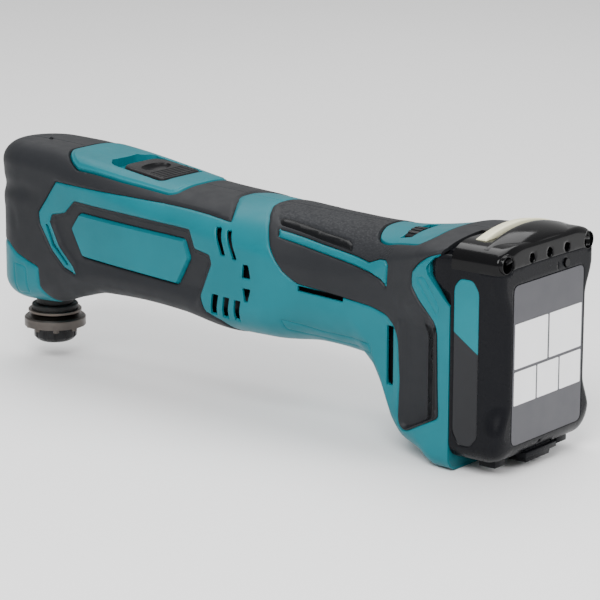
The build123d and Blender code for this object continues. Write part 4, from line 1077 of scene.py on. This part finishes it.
# Holes in the rear face for lamps, check button, drain and wells: Y, Z and radius.
CASE_HOLES = [(y, LAMPS_Z, 1.87) for y in LAMPS_Y] + [(11.5, 64.2, 1.72), (-3.0, -4.2, 0.8)]
CASE_HOLES += [(y, WELL_Z, WELL_RADIUS + 0.4) for y in (-WELL_Y, WELL_Y)]
CHECK_MARK = [(-5.4, 62.5), (5.9, 62.5), (5.9, 65.3)]
gloss_zone = rear_field(GLOSS_BAND, nearest=236.0)
label_zone = rear_field(LABEL, nearest=255.0)
case_holes = holes_field(CASE_HOLES, (1, 2), lambda p: p[:, 0] > 252.0)
side_badge = side_field(SIDE_BADGE, away=25.0)


def check_mark(p):
    return np.where(p[:, 0] > 255.0, line_distance(p[:, [1, 2]], CHECK_MARK), NOWHERE)


badge_split = side_field(BADGE_SPLIT, away=25.0)

case = Skin(*battery_grid())
case.cut(gloss_zone, (-0.35, 0.0, 0.35))
case.cut(label_zone, (-0.3, 0.0, 0.3))
case.cut(case_holes, (0.0, 0.4))
case.cut(side_badge, (-0.35, 0.0, 0.35))
case.cut(badge_split, (0.0,))
case.cut(check_mark, (0.35,))


def case_heights(p):
    h = profile(np.abs(side_badge(p)), (0.0, 0.35), (-0.35, 0.0))
    h -= profile(side_badge(p), (-0.35, 0.0), (0.15, 0.0))
    h += profile(np.abs(gloss_zone(p)), (0.0, 0.35), (-0.12, 0.0)) * (p[:, 0] > 250)
    h += profile(np.abs(label_zone(p)), (0.0, 0.3), (-0.15, 0.0))
    h -= profile(case_holes(p), (0.0, 0.4), (0.3, 0.0))
    h -= profile(check_mark(p), (0.0, 0.35), (0.35, 0.0))
    return h


case_middle = case.centres()
case_open = case_holes(case_middle) < 0
in_side_badge = side_badge(case_middle) < 0
in_gloss = (gloss_zone(case_middle) < 0) & ~in_side_badge
raised = case_heights(case.points)
case_depths = 2.0 + np.maximum(-raised, 0)


def case_piece(name, mask, mat, stands_for=()):
    shell = closed_shell(case.points, case.normals, raised, case_depths, case.tris[mask & ~case_open])
    dress(mesh_object(name, *shell), mat, "battery", stands_for, 40.0)


case_piece("battery_case_rear", ~in_gloss & ~in_side_badge, battery_black,
           ["battery_rear_case"])
case_piece("battery_case_band", in_gloss, gloss_black, ["gauge_panel"])
upper_badge = badge_split(case_middle) < 0
case_piece("battery_badge_upper", in_side_badge & upper_badge, badge_teal, ["battery_badges"])
case_piece("battery_badge_lower", in_side_badge & ~upper_badge, badge_grey,
           ["battery_badges"])


ARCH_BEND = 145.0       # the battery's top falls by the square of Y over this
LOW_BEND = 2.4          # an arched bar's underside is flatter by this factor


def arched_bar(half, sections):
    """A bar across the battery: sections are X and height at the middle, the low ones flatter."""
    return solid([
        [(x, y, z - y * y / (ARCH_BEND * (1.0 if high else LOW_BEND))) for x, z, high in sections]
        for y in np.linspace(-half, half, 33)
    ])


def lug():
    """The lug under the battery, with its plate and a foot on each side."""
    body = slab(
        [(-9.0, -7.0), (-9.0, -10.6), (-8.4, -12.2), (7.6, -12.2), (8.2, -10.6), (8.2, -7.0)], 248.5, 256.8)
    join(body, *(box(246.0, 253.5, y0, y1, -11.4, -8.0) for y0, y1 in ((-25.0, -18.0), (18.0, 25.0))),
         box(247.5, 258.4, -11.0, 10.2, -9.6, -7.5))
    finish_piece(body, "battery_lug", battery_black, "battery", ["battery_rear_case"],
                 bevel=0.4)


def battery_fittings():
    """Screw wells, screws, lamp windows, arched plate and shoulders of the battery."""
    for name, side in SIDES:
        well = (side * WELL_Y, WELL_Z)
        sleeve = cut_out(
            turned("X", well, [
                (251.0, WELL_RADIUS + 0.5), (259.2, WELL_RADIUS + 0.5), (259.5, WELL_RADIUS + 0.3)], 56),
            turned("X", well, [(253.4, WELL_RADIUS), (261, WELL_RADIUS)], 56),
        )
        finish_piece(sleeve, "battery_screw_well_" + name, gloss_black, "battery",
                     ["battery_rear_case"])
    screws = join(*(
        turned("X", (side * WELL_Y, WELL_Z), [(246.0, 1.5), (251.6, 1.5), (251.7, 2.6), (252.9, 2.3)])
        for _, side in SIDES
    ))
    finish_piece(screws, "battery_case_screws", black_oxide, "battery", ["battery_screws"])
    windows = join(*(
        turned("X", (y, LAMPS_Z), [(255.0, 1.8), (258.3, 1.8), (258.7, 1.2)]) for y in LAMPS_Y
    ))
    finish_piece(windows, "charge_lamp_windows", gloss_black, "battery", ["charge_lamps"])
    plate = arched_bar(28.6, [
        (248.3, 72.6, False), (248.3, 79.7, True), (249.0, 80.4, True), (250.8, 80.4, True),
        (258.0, 78.0, True), (259.3, 76.9, True), (259.5, 76.0, True), (259.5, 72.6, False),
    ])
    finish_piece(plate, "battery_arch_plate", gloss_black, "battery", ["battery_top_plate"],
                 bevel=0.3)
    for name, side in SIDES:
        ends = [(side * 22.8, 72.4), (side * 28.8, 71.0), (side * 28.8, 74.4), (side * 22.8, 76.2)]
        finish_piece(slab(ends, 239.4, 246.9), "battery_shoulder_" + name, battery_black, "battery",
                     ["battery_top_plate"], bevel=0.4)


def latch():
    """The arched release button, and the tooth of its hook; the button's travel is clear of the plate."""
    button = arched_bar(22.2, [
        (240.3, 76.8, False), (240.3, 79.2, True), (241.0, 80.0, True), (245.1, 80.6, True),
        (245.6, 80.2, True), (245.6, 76.8, False),
    ])
    finish_piece(button, "latch_button_arched", cream, "latch", ["latch_button"],
                 bevel=0.3)
    tooth = box(232.5, 241.0, -6.6, 6.6, 74.3, 76.3)
    finish_piece(tooth, "latch_tooth", satin_black, "latch", ["latch_hook"], bevel=0.3)


def front_case():
    """The battery's front part, its upper corners trimmed to the casing's arch."""
    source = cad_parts["battery_front_case"]
    case_front = bpy.data.objects.new("cutter", source.data.copy())
    bpy.context.scene.collection.objects.link(case_front)
    rings = [section_ring(x, 1.4) for x in (226.4, 229.0, 232.0, CASING_REAR)]
    rings.append([(237.6, y, z) for _, y, z in rings[-1]])
    combine(case_front, solid(rings), "INTERSECT")
    finish_piece(case_front, "battery_front_trimmed", battery_black, "battery",
                 ["battery_front_case"])


lug()
battery_fittings()
latch()
front_case()


LABEL_CELLS = [
    (-23.0, -0.6, 28.6, 46.2), (0.6, 23.0, 28.6, 46.2),
    (-23.0, -8.2, 14.2, 27.4), (-7.2, 7.4, 14.2, 27.4), (8.4, 23.0, 14.2, 27.4),
]


def label():
    """The rear label: a blank grey film with plain pale cells, none of them printed."""
    film = slab(rounded(rectangle(-24.0, 24.0, -1.6, 61.2), 3.0), 259.9, 260.12)
    finish_piece(film, "battery_label_film", label_grey, "battery", ["battery_label"])
    for k, cell in enumerate(LABEL_CELLS):
        patch = slab(rounded(rectangle(*cell), 0.5), 260.05, 260.2)
        finish_piece(patch, f"battery_label_cell_{k + 1}", label_white, "battery",
                     ["battery_label"])


label()

# ---- finishes of the CAD nodes that show as they are
FINISHES = {
    flange_steel: ["tool_flange"],
    bronzed: ["retaining_ring", "counterweight"],
    seal_rubber: ["dust_cap", "neck_seal", "carbon_brushes"],
    bright_steel: [
        "spindle", "swing_arm", "motor_can", "armature", "motor_shaft", "housing_screws", "lower_bearing",
        "upper_bearing", "motor_front_bearing", "motor_rear_bearing", "eccentric_bearing",
    ],
    cast_metal: ["gear_case"],
    black_oxide: ["motor_magnets"],
    copper_wire: ["commutator"],
    brass_metal: ["brush_springs", "terminal_blades", "battery_contacts"],
    board_green: ["control_board", "lamp_board", "battery_board"],
    lens_clear: ["lamp_lens"],
    lead_red: ["lamp_lead", "power_leads"],
    cell_sleeve: ["battery_cells"],
    gloss_black: ["check_button"],
}
FINISH_OF = {name: finish for finish, names in FINISHES.items() for name in names}
for node_name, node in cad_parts.items():
    if not node.hide_render:
        node.data.materials.clear()
        node.data.materials.append(FINISH_OF.get(node_name, satin_black))


# ---- floor, light and camera
def soft_light(name, place, target, size, power):
    """A square area light aimed at a point, all in metres and watts."""
    data = bpy.data.lights.new(name, "AREA")
    data.size = size
    data.energy = power
    lamp_object = bpy.data.objects.new(name, data)
    lamp_object.location = place
    aim = Vector(target) - Vector(place)
    lamp_object.rotation_euler = aim.to_track_quat("-Z", "Y").to_euler()
    bpy.context.scene.collection.objects.link(lamp_object)


FLOOR_REACH = 4.0
FLOOR_GAP = 0.0002
WORLD_STRENGTH = 0.62
# Lights: place from the model's middle, size in metres, power in watts.
LIGHTS = {
    "key_light": ((0.45, -0.9, 0.95), 0.7, 24.0),
    "top_light": ((-0.3, 0.5, 1.3), 1.1, 16.0),
    "rear_light": ((1.1, 0.1, 0.6), 0.5, 7.0),
}


def studio():
    low, high = cad_box
    centre = (Vector(low) + Vector(high)) / 2
    floor_material = new_material("studio_floor", (0.9, 0.9, 0.9), 0.6)
    vary_color(floor_material, noise(floor_material, 3.0), (0.89, 0.89, 0.89), (0.91, 0.91, 0.91))
    mesh = bpy.data.meshes.new("studio_floor")
    corners = rectangle(-FLOOR_REACH, FLOOR_REACH, -FLOOR_REACH, FLOOR_REACH)
    mesh.from_pydata([(x, y, low[2] - FLOOR_GAP) for x, y in corners], [], [(0, 1, 2, 3)])
    mesh.materials.append(floor_material)
    floor = bpy.data.objects.new("studio_floor", mesh)
    bpy.context.scene.collection.objects.link(floor)
    world = bpy.data.worlds.new("studio_world")
    bpy.context.scene.world = world
    world.use_nodes = True
    background = world.node_tree.nodes["Background"]
    background.inputs["Color"].default_value = (1, 1, 1, 1)
    background.inputs["Strength"].default_value = WORLD_STRENGTH
    for name, (place, size, power) in LIGHTS.items():
        soft_light(name, centre + Vector(place), centre, size, power)


CAMERA_TARGET = Vector((0.1385, 0.0, 0.0324))
CAMERA_PLACE = Vector((0.8156, -0.8570, 0.3052))
CAMERA_ROLL = 0.15      # degrees
CAMERA_LENS = 164.3     # millimetres, on a sensor this wide
CAMERA_SENSOR = 36.0


def make_camera():
    data = bpy.data.cameras.new("camera")
    data.lens = CAMERA_LENS
    data.sensor_width = CAMERA_SENSOR
    data.clip_start = 0.01
    camera = bpy.data.objects.new("camera", data)
    aim = (CAMERA_TARGET - CAMERA_PLACE).to_track_quat("-Z", "Y")
    roll = Matrix.Rotation(radians(CAMERA_ROLL), 4, "Z")
    camera.matrix_world = Matrix.Translation(CAMERA_PLACE) @ aim.to_matrix().to_4x4() @ roll
    bpy.context.scene.collection.objects.link(camera)
    bpy.context.scene.camera = camera


studio()
make_camera()
